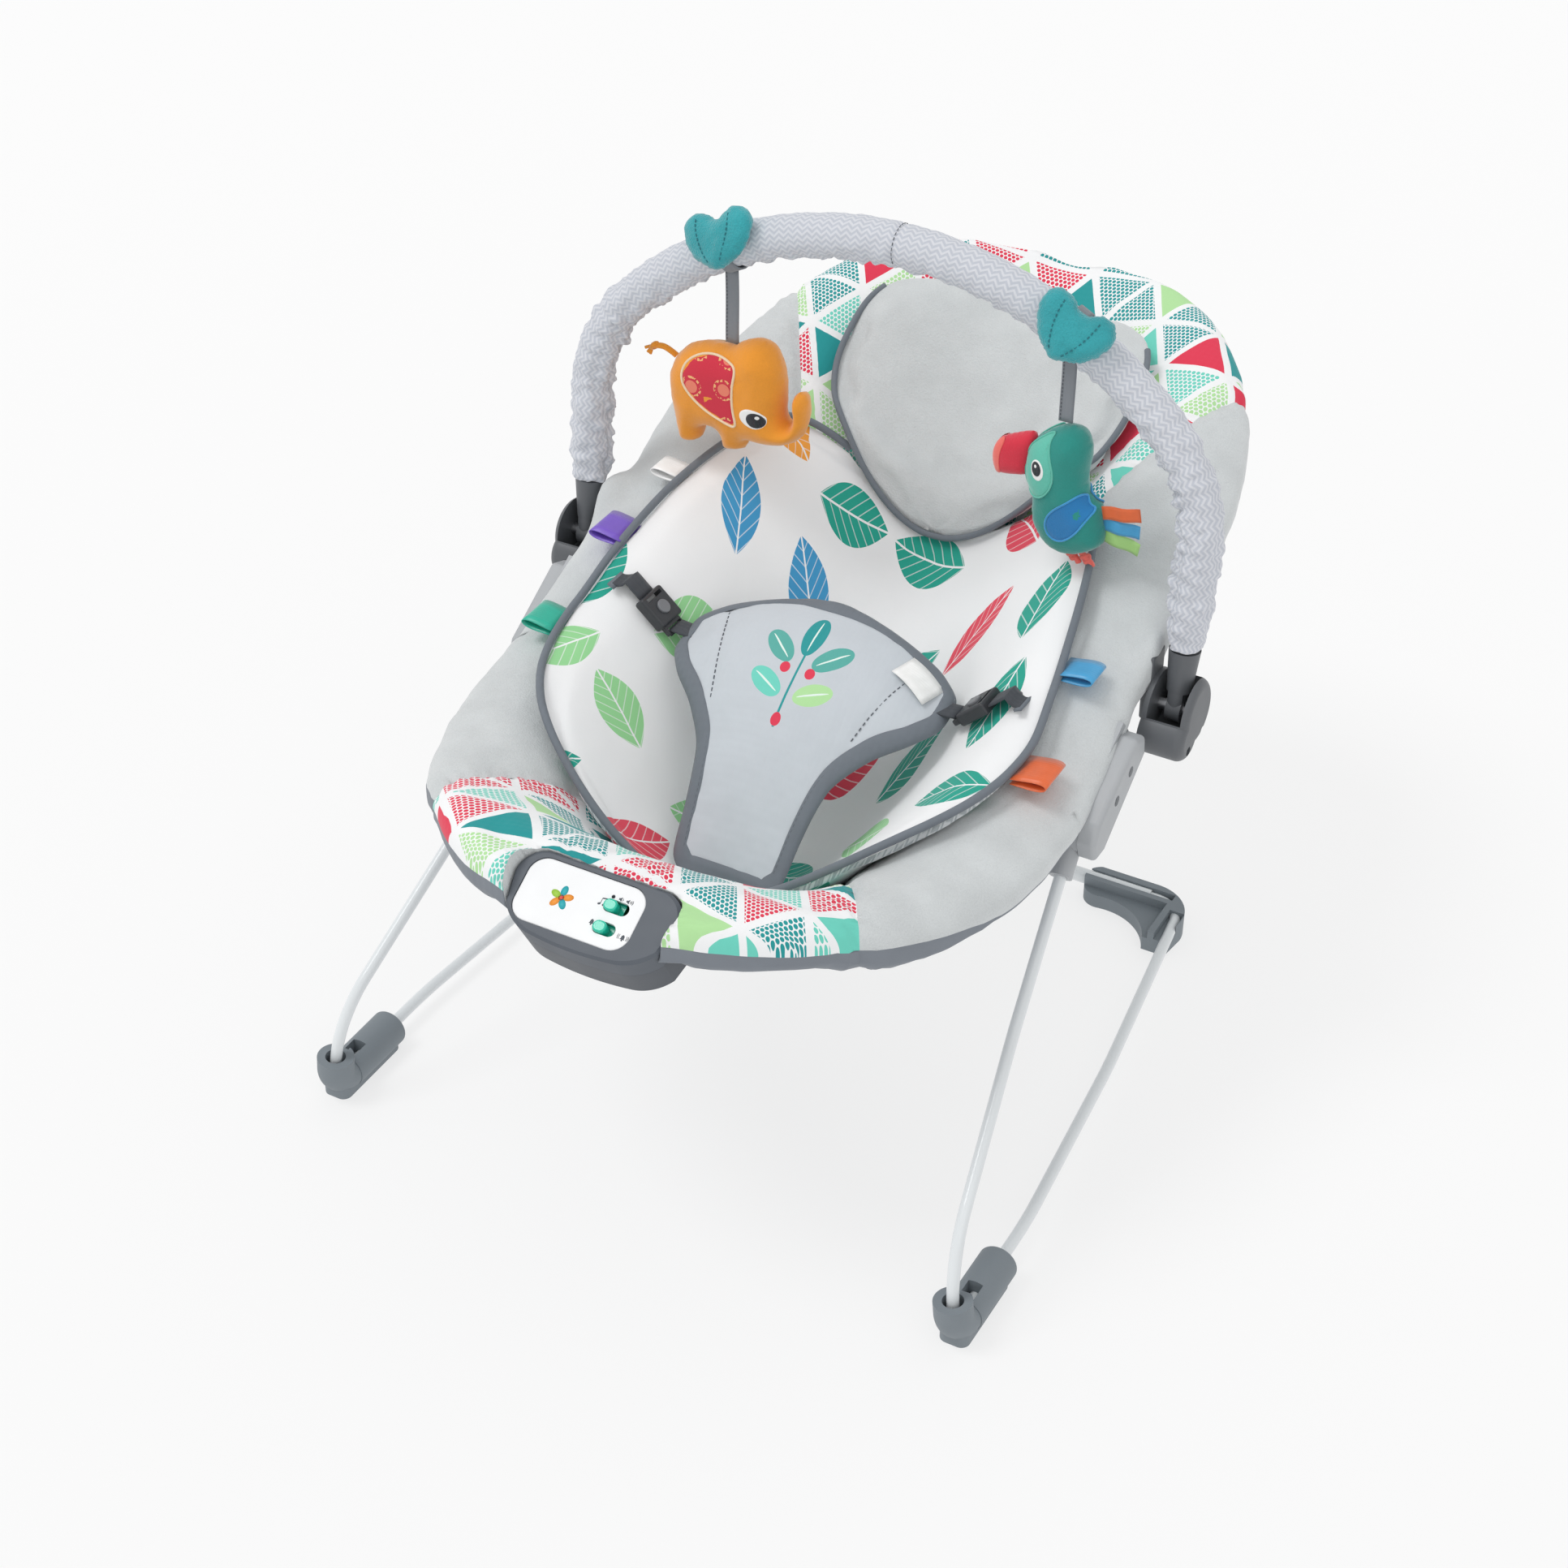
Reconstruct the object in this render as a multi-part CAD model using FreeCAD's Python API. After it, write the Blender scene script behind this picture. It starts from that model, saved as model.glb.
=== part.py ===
"""Infant bouncer seat: a padded sling on a steel tube frame, carried by two spring-wire arms on a
wire floor base, with a tilting toy bar and a sound and vibration unit clipped to the foot end.

Lengths are millimetres. The model is drawn with Y measured back from the front bends of the floor
wire and is moved by -CENTRE_Y when it is written, so the row's origin is the middle of its footprint
on the floor. +Y points to the head end, +X to the sitter's left, +Z up.
"""

import FreeCAD
import Part

import math
import os

from FreeCAD import Vector as V

# ---------------------------------------------------------------- driving dimensions
CENTRE_Y = 276.0          # middle of the whole seat, behind the front bends

WIRE_R = 4.0              # spring wire of the arms and floor rails
FRAME_R = 6.0             # steel tube of the seat frame
CROSS_TUBE_R = 5.5        # rear cross tube
CROSS_BORE_R = 4.2
RAIL_Z = 12.0             # height of the floor wire's centreline
FOOT_X = 232.0            # floor wire beside the front feet
CORNER_X = 194.0          # rear corner of the floor wire
CORNER_Y = 436.0
CORNER_R = 22.0
TUBE_END_X = 170.0        # where the rear cross tube stops, inside the corner foot
HINGE_GAP = 0.6           # half the gap between arm and rail at the flex point
BEND_Y = -14.0            # foremost point of the wire's centreline
BEND_R = 13.0

PIVOT_Y = 308.0           # toy bar pivot
PIVOT_Z = 275.0
BAR_X = 221.0             # legs of the toy bar
BAR_LEAN = math.radians(7.0)
BAR_LEG = 111.5           # straight part of a leg, from the pivot
BAR_SHOULDER_R = 95.6
BAR_CORE_R = 6.0
SLEEVE_R = 14.0
SLEEVE_START = 40.0       # sleeve end, from the pivot
SOCKET_TOP = 42.0
CORE_START = 20.0
HUB_R = 23.0
HUB_IN = 206.0
HUB_OUT = 237.0
PIN_R = 4.0

UNIT_TILT = 29.4          # face of the control unit, degrees from level
UNIT_Y = -43.0            # centre of its face
UNIT_Z = 270.5
UNIT_W = 112.0
UNIT_H = 52.0
UNIT_SPLIT = -14.0        # joint of the front housing and the rear case, below the face
UNIT_BACK = -38.0

STRAP_X = 120.0           # where the two toys hang
STRAP_LEN = {-1: 50.0, 1: 44.0}     # left toy, right toy
SCREW_R = 1.6
SCREW_BORE = 1.62
FABRIC_GAP = 1.5          # between a pad and what it lies on

# Seat shape, foot end to head end: (distance back, value)
HALF_WIDTH = [(-57, 28), (-54, 50), (-48, 74), (-38, 96), (-22, 119), (-4, 136), (12, 152),
              (35, 171), (66, 187), (106, 199), (150, 206), (206, 208), (250, 206), (290, 203.5),
              (330, 203), (365, 206), (402, 206), (446, 200), (486, 190), (527, 172), (560, 151),
              (585, 127), (604, 97), (615, 66), (620.5, 36)]
RIM_Z = [(-58, 268), (-30, 265), (-4, 261), (12, 254), (35, 248), (66, 244), (106, 243), (150, 245),
         (206, 253), (240, 269), (271, 283), (300, 295), (331, 306), (402, 333), (486, 358),
         (527, 372), (586, 388), (622, 398)]
BOLSTER_TOP = [(-58, 5), (-48, 16), (-30, 21), (0, 23), (200, 22), (500, 23), (560, 22), (600, 15),
               (622, 4)]
BOLSTER_BOTTOM = [(-58, 4), (-30, 12), (560, 12), (622, 3)]
HOLLOW = [(-58, -4), (-30, -18), (-8, -21), (12, -18), (28, -6), (50, 28), (75, 62), (100, 86), (150, 104),
          (200, 110), (260, 106), (320, 94), (400, 70), (460, 50), (520, 28), (560, 12), (600, 2), (622, 0)]
BOLSTER_PLACE = 0.8       # where the bolster is highest, as a share of the half width
SLING_THICK = [(-58, 10), (-40, 26), (0, 34), (24, 30), (60, 16), (90, 13), (560, 13), (622, 8)]

PAD_HALF = [(72, 36), (78, 70), (90, 102), (104, 124), (122, 141), (150, 156), (181, 164),
            (203, 166), (235, 163), (283, 155), (319, 147), (359, 135), (390, 122), (408, 104),
            (418, 78), (423, 44)]
PAD_T = 13.0
HEAD_HALF = [(430, 40), (437, 74), (450, 96), (475, 107), (500, 108), (520, 102),
             (536, 86), (548, 60), (554, 32)]
HEAD_T = [(428, 12), (470, 22), (520, 36), (545, 34), (556, 18)]

os.makedirs("parts", exist_ok=True)


# ---------------------------------------------------------------- small tools
def table(pairs):
    """Smooth curve through hand-set points, with no overshoot (monotone cubic)."""
    xs = [float(p[0]) for p in pairs]
    ys = [float(p[1]) for p in pairs]
    n = len(xs)
    step = [xs[i + 1] - xs[i] for i in range(n - 1)]
    slope = [(ys[i + 1] - ys[i]) / step[i] for i in range(n - 1)]
    grad = [slope[0]] + [0.0] * (n - 2) + [slope[-1]]
    for i in range(1, n - 1):
        if slope[i - 1] * slope[i] > 0:
            a, b = 2 * step[i] + step[i - 1], step[i] + 2 * step[i - 1]
            grad[i] = (a + b) / (a / slope[i - 1] + b / slope[i])

    def value(x):
        x = min(max(x, xs[0]), xs[-1])
        i = max(k for k in range(n - 1) if xs[k] <= x)
        t = (x - xs[i]) / step[i]
        return ((1 + 2 * t) * (1 - t) ** 2 * ys[i] + t * (1 - t) ** 2 * step[i] * grad[i]
                + t * t * (3 - 2 * t) * ys[i + 1] + t * t * (t - 1) * step[i] * grad[i + 1])

    return value


half_width, rim_z = table(HALF_WIDTH), table(RIM_Z)
bolster_top, bolster_bottom, hollow = table(BOLSTER_TOP), table(BOLSTER_BOTTOM), table(HOLLOW)
sling_thick = table(SLING_THICK)
pad_half, head_t = table(PAD_HALF), table(HEAD_T)


def write(name, *shapes):
    """One node: its solids, moved to the row frame."""
    solids = [s for shape in shapes for s in shape.Solids]
    made = solids[0] if len(solids) == 1 else Part.makeCompound(solids)
    made = made.copy()
    if made.Volume < 0:
        made.reverse()
    made.translate(V(0, -CENTRE_Y, 0))
    if not made.isValid() or made.Volume <= 0:
        print("CHECK", name, made.isValid(), made.Volume)
    made.exportStep(f"parts/{name}.step")
    return made


def pair(name, shape):
    """The right-hand (+X) shape and its mirror image, as two nodes."""
    write(name + "_right", shape)
    write(name + "_left", shape.mirror(V(0, 0, 0), V(1, 0, 0)))


def both(shape):
    return [shape, shape.mirror(V(0, 0, 0), V(1, 0, 0))]


def cylinder(start, end, r):
    start, end = V(*start), V(*end)
    return Part.makeCylinder(r, (end - start).Length, start, end - start)


def box(low, high, fillet=0.0):
    low, high = V(*low), V(*high)
    made = Part.makeBox(high.x - low.x, high.y - low.y, high.z - low.z, low)
    return made.makeFillet(fillet, made.Edges) if fillet else made


def rounded_path(points, radii):
    """Straight runs joined by tangent arcs: radii has one entry per inner point."""
    points = [V(*p) for p in points]
    edges, at = [], points[0]
    for before, corner, after, r in zip(points, points[1:], points[2:], radii):
        back, ahead = (before - corner).normalize(), (after - corner).normalize()
        half = back.getAngle(ahead) / 2
        reach = r / math.tan(half)
        first, last = corner + back * reach, corner + ahead * reach
        middle_dir = (back + ahead).normalize()
        middle = corner + middle_dir * (r / math.sin(half) - r)
        if (first - at).Length > 1e-4:
            edges.append(Part.makeLine(at, first))
        edges.append(Part.Arc(first, middle, last).toShape())
        at = last
    edges.append(Part.makeLine(at, points[-1]))
    return Part.Wire(edges)


def pipe(path, r):
    """A round bar along a wire."""
    first = path.Edges[0]
    start = first.valueAt(first.FirstParameter)
    along = first.tangentAt(first.FirstParameter)
    ring = Part.Wire(Part.makeCircle(r, start, along))
    return path.makePipeShell([ring], True, True)


def slab(outline, low, high):
    """A flat plate in XY: outline is a closed wire at height 0."""
    made = Part.Face(outline).extrude(V(0, 0, high - low))
    made.translate(V(0, 0, low))
    return made


def rounded_rect(w, h, r, cx=0.0, cy=0.0):
    """A closed wire in the XY plane at height 0, drawn from lines and quarter arcs."""
    x, y, k = w / 2, h / 2, r * (1 - math.sqrt(0.5))
    at = lambda a, b: V(cx + a, cy + b, 0)
    edges = []
    for sx, sy in ((1, 1), (-1, 1), (-1, -1), (1, -1)):
        side = (at(sx * x, sy * (y - r)), at(sx * (x - r), sy * y))
        start, end = side if sx * sy > 0 else side[::-1]
        edges.append(Part.Arc(start, at(sx * (x - k), sy * (y - k)), end).toShape())
    ring = []
    for a, b in zip(edges, edges[1:] + edges[:1]):
        ring.append(a)
        p, q = a.valueAt(a.LastParameter), b.valueAt(b.FirstParameter)
        if (p - q).Length > 1e-6:
            ring.append(Part.makeLine(p, q))
    return Part.Wire(ring)


def skin_solid(top_rows, bottom_rows):
    """A solid between two smooth surfaces, each through a grid of points, with ruled walls at the edges."""
    faces, rims = [], []
    for rows in (top_rows, bottom_rows):
        surface = Part.BSplineSurface()
        surface.interpolate(rows)
        u0, u1, v0, v1 = surface.bounds()
        faces.append(surface.toShape())
        rims.append([surface.uIso(u0), surface.uIso(u1), surface.vIso(v0), surface.vIso(v1)])
    for upper, lower in zip(*rims):
        faces.append(Part.makeRuledSurface(upper.toShape(), lower.toShape()))
    skin = Part.Compound(faces)
    skin.sewShape()
    return Part.makeSolid(skin.Shells[0])


# ---------------------------------------------------------------- seat surface
def sling(x, y):
    """Top of the seat cover above a point."""
    w = max(half_width(y), 1e-3)
    s = min(abs(x) / w, 1.0)
    top, deep = bolster_top(y), hollow(y)
    if s < BOLSTER_PLACE:
        rise = top - (top + deep) * math.cos(math.pi * s / (2 * BOLSTER_PLACE)) ** 2
    else:
        rise = top * math.sqrt(max(0.0, 1 - ((s - BOLSTER_PLACE) / (1 - BOLSTER_PLACE)) ** 2))
    return rim_z(y) + rise


def sling_bottom(x, y):
    w = max(half_width(y), 1e-3)
    s = min(abs(x) / w, 1.0)
    under = bolster_bottom(y)
    if s < BOLSTER_PLACE:
        share = (s / BOLSTER_PLACE) ** 2 * (3 - 2 * s / BOLSTER_PLACE)
        return sling(x, y) - sling_thick(y) - (bolster_top(y) + under - sling_thick(y)) * share
    return rim_z(y) - under * math.sqrt(max(0.0, 1 - ((s - BOLSTER_PLACE) / (1 - BOLSTER_PLACE)) ** 2))


COVER_STOPS = (0.0, 0.2, 0.4, 0.56, 0.7, 0.8, 0.88, 0.94, 0.98, 1.0)
SEAM_T = 3.0


def seat_cover_blank():
    stops = [-s for s in COVER_STOPS[:0:-1]] + list(COVER_STOPS)
    top, bottom = [], []
    for y, w in HALF_WIDTH:
        seam = [SEAM_T / 2 * abs(s) ** 6 for s in stops]
        top.append([V(s * w, y, sling(s * w, y) + t) for s, t in zip(stops, seam)])
        bottom.append([V(s * w, y, sling_bottom(s * w, y) - t) for s, t in zip(stops, seam)])
    return skin_solid(top, bottom)


def fade(share):
    """Thickness of a stuffed piece from its middle (0) to its seam (1)."""
    return max(0.0, 1 - min(abs(share), 1.0) ** 4) ** 0.5


PAD_STOPS = (-1.0, -0.96, -0.86, -0.7, -0.48, -0.25, 0.0, 0.25, 0.48, 0.7, 0.86, 0.96, 1.0)


def stuffed(profile, middle, thick):
    """A stuffed piece: half-width profile, height of its middle surface, and thickness along it."""
    y0, y1 = profile[0][0], profile[-1][0]

    def grid(side):
        rows = []
        for y, w in profile:
            along = fade(2 * (y - y0) / (y1 - y0) - 1)
            swell = [SEAM_T / 2 + (thick(y) - SEAM_T) / 2 * along * fade(s) for s in PAD_STOPS]
            rows.append([V(s * w, y, middle(s * w, y) + side * t) for s, t in zip(PAD_STOPS, swell)])
        return rows

    return skin_solid(grid(1), grid(-1))


def lying_pad(profile, thick):
    """A stuffed piece that lies on the sling."""
    return stuffed(profile, lambda x, y: sling(x, y) + FABRIC_GAP + thick(y) / 2, thick)


# ---------------------------------------------------------------- floor base
def rail_path():
    return rounded_path([(FOOT_X, HINGE_GAP, RAIL_Z), (FOOT_X, 90, RAIL_Z), (218, 250, RAIL_Z),
                         (CORNER_X, CORNER_Y, RAIL_Z), (TUBE_END_X - 30, CORNER_Y, RAIL_Z)],
                        [500, 700, CORNER_R])


def arm_path():
    return rounded_path([(FOOT_X, -HINGE_GAP, RAIL_Z), (FOOT_X, BEND_Y, RAIL_Z), (227, BEND_Y, 63),
                         (208, 105, 146), (197, 206, 229)],
                        [BEND_R, 72, 200])


def front_foot():
    """A rubber boot over the flex point: a barrel round the rail and a cup round the arm."""
    barrel = cylinder((FOOT_X, -2, RAIL_Z), (FOOT_X, 50, RAIL_Z), 13)
    barrel = barrel.makeFillet(2.5, [e for e in barrel.Edges if e.BoundBox.YMax > 49 and
                                     e.BoundBox.YLength < 1])
    sole = box((FOOT_X - 10, -18, 0), (FOOT_X + 10, 47, 10))
    sole = sole.makeFillet(6, [e for e in sole.Edges if e.BoundBox.ZLength > 5])
    bend = rounded_path([(FOOT_X, 2, RAIL_Z), (FOOT_X, BEND_Y, RAIL_Z), (FOOT_X - 2, BEND_Y, 34)],
                        [BEND_R])
    cup = pipe(bend, 12.5)
    body = barrel.fuse(sole).fuse(cup).removeSplitter()
    wide = rounded_path([(FOOT_X, 0, RAIL_Z), (FOOT_X, BEND_Y, RAIL_Z), (FOOT_X - 2.4, BEND_Y, 40)],
                        [BEND_R])
    body = body.cut(pipe(wide, 6.9)).cut(cylinder((FOOT_X, -1, RAIL_Z), (FOOT_X, 60, RAIL_Z), 4.2))
    window = box((FOOT_X - 5, -4, RAIL_Z + 1), (FOOT_X + 5, 15, 60))
    body = body.cut(window)
    return body.cut(box((FOOT_X - 40, -60, -30), (FOOT_X + 40, 80, 0)))


def rear_foot():
    """A rubber corner: two legs that clip over the wire from below, and a web between them."""
    top = 18.0
    out_x, out_y = CORNER_X + 9, CORNER_Y + 9
    in_x, in_y = CORNER_X - 9, CORNER_Y - 9
    leg_x, leg_y = CORNER_X - 66, CORNER_Y - 44
    r = CORNER_R + 9
    k = r * (1 - math.sqrt(0.5))
    at = lambda x, y: V(x, y, 0)
    edges = [
        Part.makeLine(at(leg_x, out_y), at(out_x - r, out_y)),
        Part.Arc(at(out_x - r, out_y), at(out_x - k, out_y - k), at(out_x, out_y - r)).toShape(),
        Part.makeLine(at(out_x, out_y - r), at(out_x - 3, leg_y)),
        Part.makeLine(at(out_x - 3, leg_y), at(in_x - 3, leg_y)),
        Part.Arc(at(in_x - 3, leg_y), at(in_x - 22, in_y - 12), at(leg_x + 8, in_y - 7)).toShape(),
        Part.Arc(at(leg_x + 8, in_y - 7), at(leg_x - 8, in_y + 4), at(leg_x, out_y)).toShape(),
    ]
    body = slab(Part.Wire(edges), 0, top)
    web_relief = box((leg_x - 20, leg_y - 10, 11), (in_x + 1.0, in_y + 1.0, top + 5))
    body = body.cut(web_relief)
    channel = pipe(rail_path(), WIRE_R + 0.2)
    seat = cylinder((TUBE_END_X + 0.5, CORNER_Y, RAIL_Z), (0, CORNER_Y, RAIL_Z), CROSS_TUBE_R + 0.2)
    mouth = box((leg_x - 20, CORNER_Y - 3.4, RAIL_Z), (CORNER_X - 6, CORNER_Y + 3.4, 40))
    side_mouth = box((CORNER_X - 3.2, leg_y - 20, RAIL_Z), (CORNER_X + 8, CORNER_Y - 14, 40))
    return body.cut(channel).cut(seat).cut(mouth).cut(side_mouth)


# ---------------------------------------------------------------- seat frame
def front_loop_path():
    half = [(196, 207, 255), (191, 120, 249), (172, 64, 249), (120, 8, 252.5)]
    return rounded_path([(-x, y, z) for x, y, z in half] + half[::-1], [160, 60, 45, 45, 60, 160])


def rear_loop_path():
    half = [(196, 254, 278), (191.5, 330, 309), (192, 402, 336), (172, 492, 362), (114, 598, 381.5)]
    return rounded_path([(-x, y, z) for x, y, z in half] + half[::-1],
                        [400, 300, 250, 95, 95, 250, 300, 400])


def bracket_blank(grow=0.0):
    """The block inside the cover that joins both loops and the arm, on the right."""
    g = grow
    outline = [(198 - g, 246 - g), (214, 262 + 2 * g), (258 + g, 288 + g), (268 + g, 276 - g),
               (232, 232 - g), (206, 222 - g), (196 - g, 228)]
    wire = Part.makePolygon([V(188 - g, y, z) for y, z in outline + outline[:1]])
    return Part.Face(wire).extrude(V(17 + 2 * g, 0, 0))


def bracket_inner():
    body = bracket_blank()
    for path, r in ((front_loop_path(), FRAME_R), (rear_loop_path(), FRAME_R), (arm_path(), WIRE_R)):
        body = body.cut(pipe(path, r + 0.15))
    collar = cylinder((199.2, 186, 212.5), (197.4, 203, 226.6), 7.5)
    body = body.fuse(collar.cut(pipe(arm_path(), WIRE_R + 0.15)))
    for y, z in BRACKET_SCREWS:
        body = body.cut(cylinder((195, y, z), (210, y, z), SCREW_BORE))
    return body


BRACKET_SCREWS = ((226, 252), (246, 262))


PLATE_OUTLINE = [(194, 236), (200, 250), (254, 281), (268, 276), (270, 262), (212, 222), (198, 222)]


def plate_blank(x, thick):
    wire = Part.makePolygon([V(x, y, z) for y, z in PLATE_OUTLINE + PLATE_OUTLINE[:1]])
    return Part.Face(wire).extrude(V(thick, 0, 0))


def bracket_outer():
    """Light grey cover plate over the joint, standing down below the rim."""
    plate = plate_blank(205.2, 12)
    plate = plate.makeFillet(3.5, [e for e in plate.Edges if e.BoundBox.XMin > 217 or
                                   e.BoundBox.XLength > 5])
    inner = [(200, 237), (204, 247), (253, 275), (264, 271), (265, 264), (211, 227), (201, 227)]
    hollow_wire = Part.makePolygon([V(205, y, z) for y, z in inner + inner[:1]])
    plate = plate.cut(Part.Face(hollow_wire).extrude(V(9.5, 0, 0)))
    for y, z in BRACKET_SCREWS:
        boss = cylinder((205.2, y, z), (215, y, z), 4)
        plate = plate.fuse(boss).cut(cylinder((200, y, z), (213, y, z), 2.2))
        plate = plate.cut(cylinder((211, y, z), (225, y, z), 3.6))
    return plate


def screw(start, direction, length, r=SCREW_R, head_r=3.0, head_h=1.8):
    """A pan-head screw with a crossed recess; start is under its head."""
    start, d = V(*start), V(*direction).normalize()
    body = Part.makeCylinder(r, length, start, d)
    head = Part.makeCylinder(head_r, head_h, start - d * head_h, d)
    made = body.fuse(head)
    side = d.cross(V(0.3, 0.5, 0.8)).normalize()
    for arm in (side, d.cross(side)):
        across = arm.cross(d)
        low = start - d * (head_h + 0.1)
        corner = low - arm * (head_r * 0.7) - across * 0.35
        cut = Part.makeBox(head_r * 1.4, 0.7, head_h * 0.6)
        frame = FreeCAD.Matrix(arm.x, across.x, d.x, corner.x, arm.y, across.y, d.y, corner.y,
                               arm.z, across.z, d.z, corner.z, 0, 0, 0, 1)
        cut = cut.transformGeometry(frame)
        made = made.cut(cut)
    return made


def hub_blank(x0, x1):
    disc = Part.makeCylinder(HUB_R, x1 - x0, V(x0, PIVOT_Y, PIVOT_Z), V(1, 0, 0))
    chin = Part.makeCylinder(16, x1 - x0, V(x0, PIVOT_Y - 13, PIVOT_Z - 12), V(1, 0, 0))
    return disc.fuse(chin).removeSplitter()


def socket_sweep():
    """The room that the socket needs as the toy bar tilts forward from upright."""
    room = Part.makeCylinder(12.5, 23, V(BAR_X - 11.5, PIVOT_Y, PIVOT_Z), V(1, 0, 0))
    for tilt in range(-2, 63, 8):
        lean = BAR_LEAN - math.radians(tilt)
        up = V(0, math.sin(lean), math.cos(lean))
        middle = V(BAR_X, PIVOT_Y, PIVOT_Z)
        room = room.fuse(Part.makeCylinder(11.6, 60, middle, up))
        wall = Part.makeBox(23.0, 23.2, 60)
        wall.translate(V(-11.5, -11.6, 0))
        wall.rotate(V(0, 0, 0), V(1, 0, 0), -math.degrees(lean))
        wall.translate(middle)
        room = room.fuse(wall)
    return room


def hub_base():
    """Inner half: a plate, half the rim wall and a clamp over the frame tube."""
    split = BAR_X
    body = hub_blank(HUB_IN, split)
    body = body.cut(socket_sweep())
    body = body.cut(cylinder((HUB_IN + 1.5, PIVOT_Y, PIVOT_Z), (HUB_OUT, PIVOT_Y, PIVOT_Z), PIN_R + 0.02))
    clamp = box((184, PIVOT_Y - 10, 286), (HUB_IN + 0.5, PIVOT_Y + 10, 313), 2)
    foot = box((199, PIVOT_Y - 10, PIVOT_Z - 10), (HUB_IN + 0.5, PIVOT_Y + 10, 300), 2)
    body = body.fuse(clamp.fuse(foot)).cut(pipe(rear_loop_path(), FRAME_R + 0.15))
    for y, z in HUB_SCREWS:
        body = body.cut(cylinder((HUB_IN + 2, y, z), (HUB_OUT, y, z), SCREW_BORE))
    return body.cut(cylinder((BAR_X - 11.5, PIVOT_Y, PIVOT_Z), (BAR_X + 2, PIVOT_Y, PIVOT_Z), 12.5))


HUB_SCREWS = ((PIVOT_Y - 15, PIVOT_Z - 20), (PIVOT_Y + 8, PIVOT_Z - 17.5))


def hub_cap():
    """Outer half, domed."""
    body = hub_blank(BAR_X, HUB_OUT)
    body = body.makeFillet(6.5, [e for e in body.Edges if e.BoundBox.XMin > HUB_OUT - 0.01])
    body = body.cut(socket_sweep())
    body = body.cut(cylinder((BAR_X - 20, PIVOT_Y, PIVOT_Z), (HUB_OUT - 2.5, PIVOT_Y, PIVOT_Z), PIN_R + 0.02))
    for y, z in HUB_SCREWS:
        body = body.cut(cylinder((BAR_X - 3, y, z), (HUB_OUT, y, z), 1.7))
        body = body.cut(cylinder((HUB_OUT - 8, y, z), (HUB_OUT + 5, y, z), 3.2))
    return body


def pivot_pin():
    return cylinder((HUB_IN + 1.6, PIVOT_Y, PIVOT_Z), (HUB_OUT - 2.6, PIVOT_Y, PIVOT_Z), PIN_R)


# ---------------------------------------------------------------- toy bar
def on_bar(x, u, across=0.0):
    """A point of the leaning toy bar plane: x, height u above the pivot, and across it."""
    s, c = math.sin(BAR_LEAN), math.cos(BAR_LEAN)
    return V(x, PIVOT_Y + u * s + across * c, PIVOT_Z + u * c - across * s)


def bar_arch(start):
    """The bar's centreline from one leg, over the crown, to the other."""
    turn = math.radians(45)
    shoulder_x = BAR_X - BAR_SHOULDER_R * (1 - math.cos(turn))
    shoulder_u = BAR_LEG + BAR_SHOULDER_R * math.sin(turn)
    crown_r = shoulder_x / math.sin(turn)
    crown_u = shoulder_u + crown_r * (1 - math.cos(turn))
    mid_x = BAR_X - BAR_SHOULDER_R * (1 - math.cos(turn / 2))
    mid_u = BAR_LEG + BAR_SHOULDER_R * math.sin(turn / 2)
    edges = [
        Part.makeLine(on_bar(-BAR_X, start), on_bar(-BAR_X, BAR_LEG)),
        Part.Arc(on_bar(-BAR_X, BAR_LEG), on_bar(-mid_x, mid_u), on_bar(-shoulder_x, shoulder_u)).toShape(),
        Part.Arc(on_bar(-shoulder_x, shoulder_u), on_bar(0, crown_u), on_bar(shoulder_x, shoulder_u)).toShape(),
        Part.Arc(on_bar(shoulder_x, shoulder_u), on_bar(mid_x, mid_u), on_bar(BAR_X, BAR_LEG)).toShape(),
        Part.makeLine(on_bar(BAR_X, BAR_LEG), on_bar(BAR_X, start)),
    ]
    return Part.Wire(edges), crown_r, crown_u


def bar_point(x):
    """Centre of the crown at a distance x from the middle."""
    _, crown_r, crown_u = bar_arch(SLEEVE_START)
    return on_bar(x, crown_u - crown_r + math.sqrt(crown_r ** 2 - x ** 2))


def bar_socket():
    """Tapered end tube with the eye that turns on the pivot pin."""
    up = on_bar(BAR_X, 1) - on_bar(BAR_X, 0)
    tube = Part.makeCone(8.2, 10.4, SOCKET_TOP - 13, on_bar(BAR_X, 13), up)
    neck = Part.makeCylinder(8.2, 13, on_bar(BAR_X, 1), up)
    neck = neck.common(Part.makeBox(10, 60, 60, V(BAR_X - 5, PIVOT_Y - 30, PIVOT_Z - 20)))
    eye = Part.makeCylinder(9, 10, V(BAR_X - 5, PIVOT_Y, PIVOT_Z), V(1, 0, 0))
    body = tube.fuse(neck).fuse(eye).removeSplitter()
    body = body.cut(cylinder((BAR_X - 10, PIVOT_Y, PIVOT_Z), (BAR_X + 10, PIVOT_Y, PIVOT_Z), PIN_R + 0.06))
    return body.cut(Part.makeCylinder(BAR_CORE_R + 0.15, 60, on_bar(BAR_X, CORE_START - 0.5), up))


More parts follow.
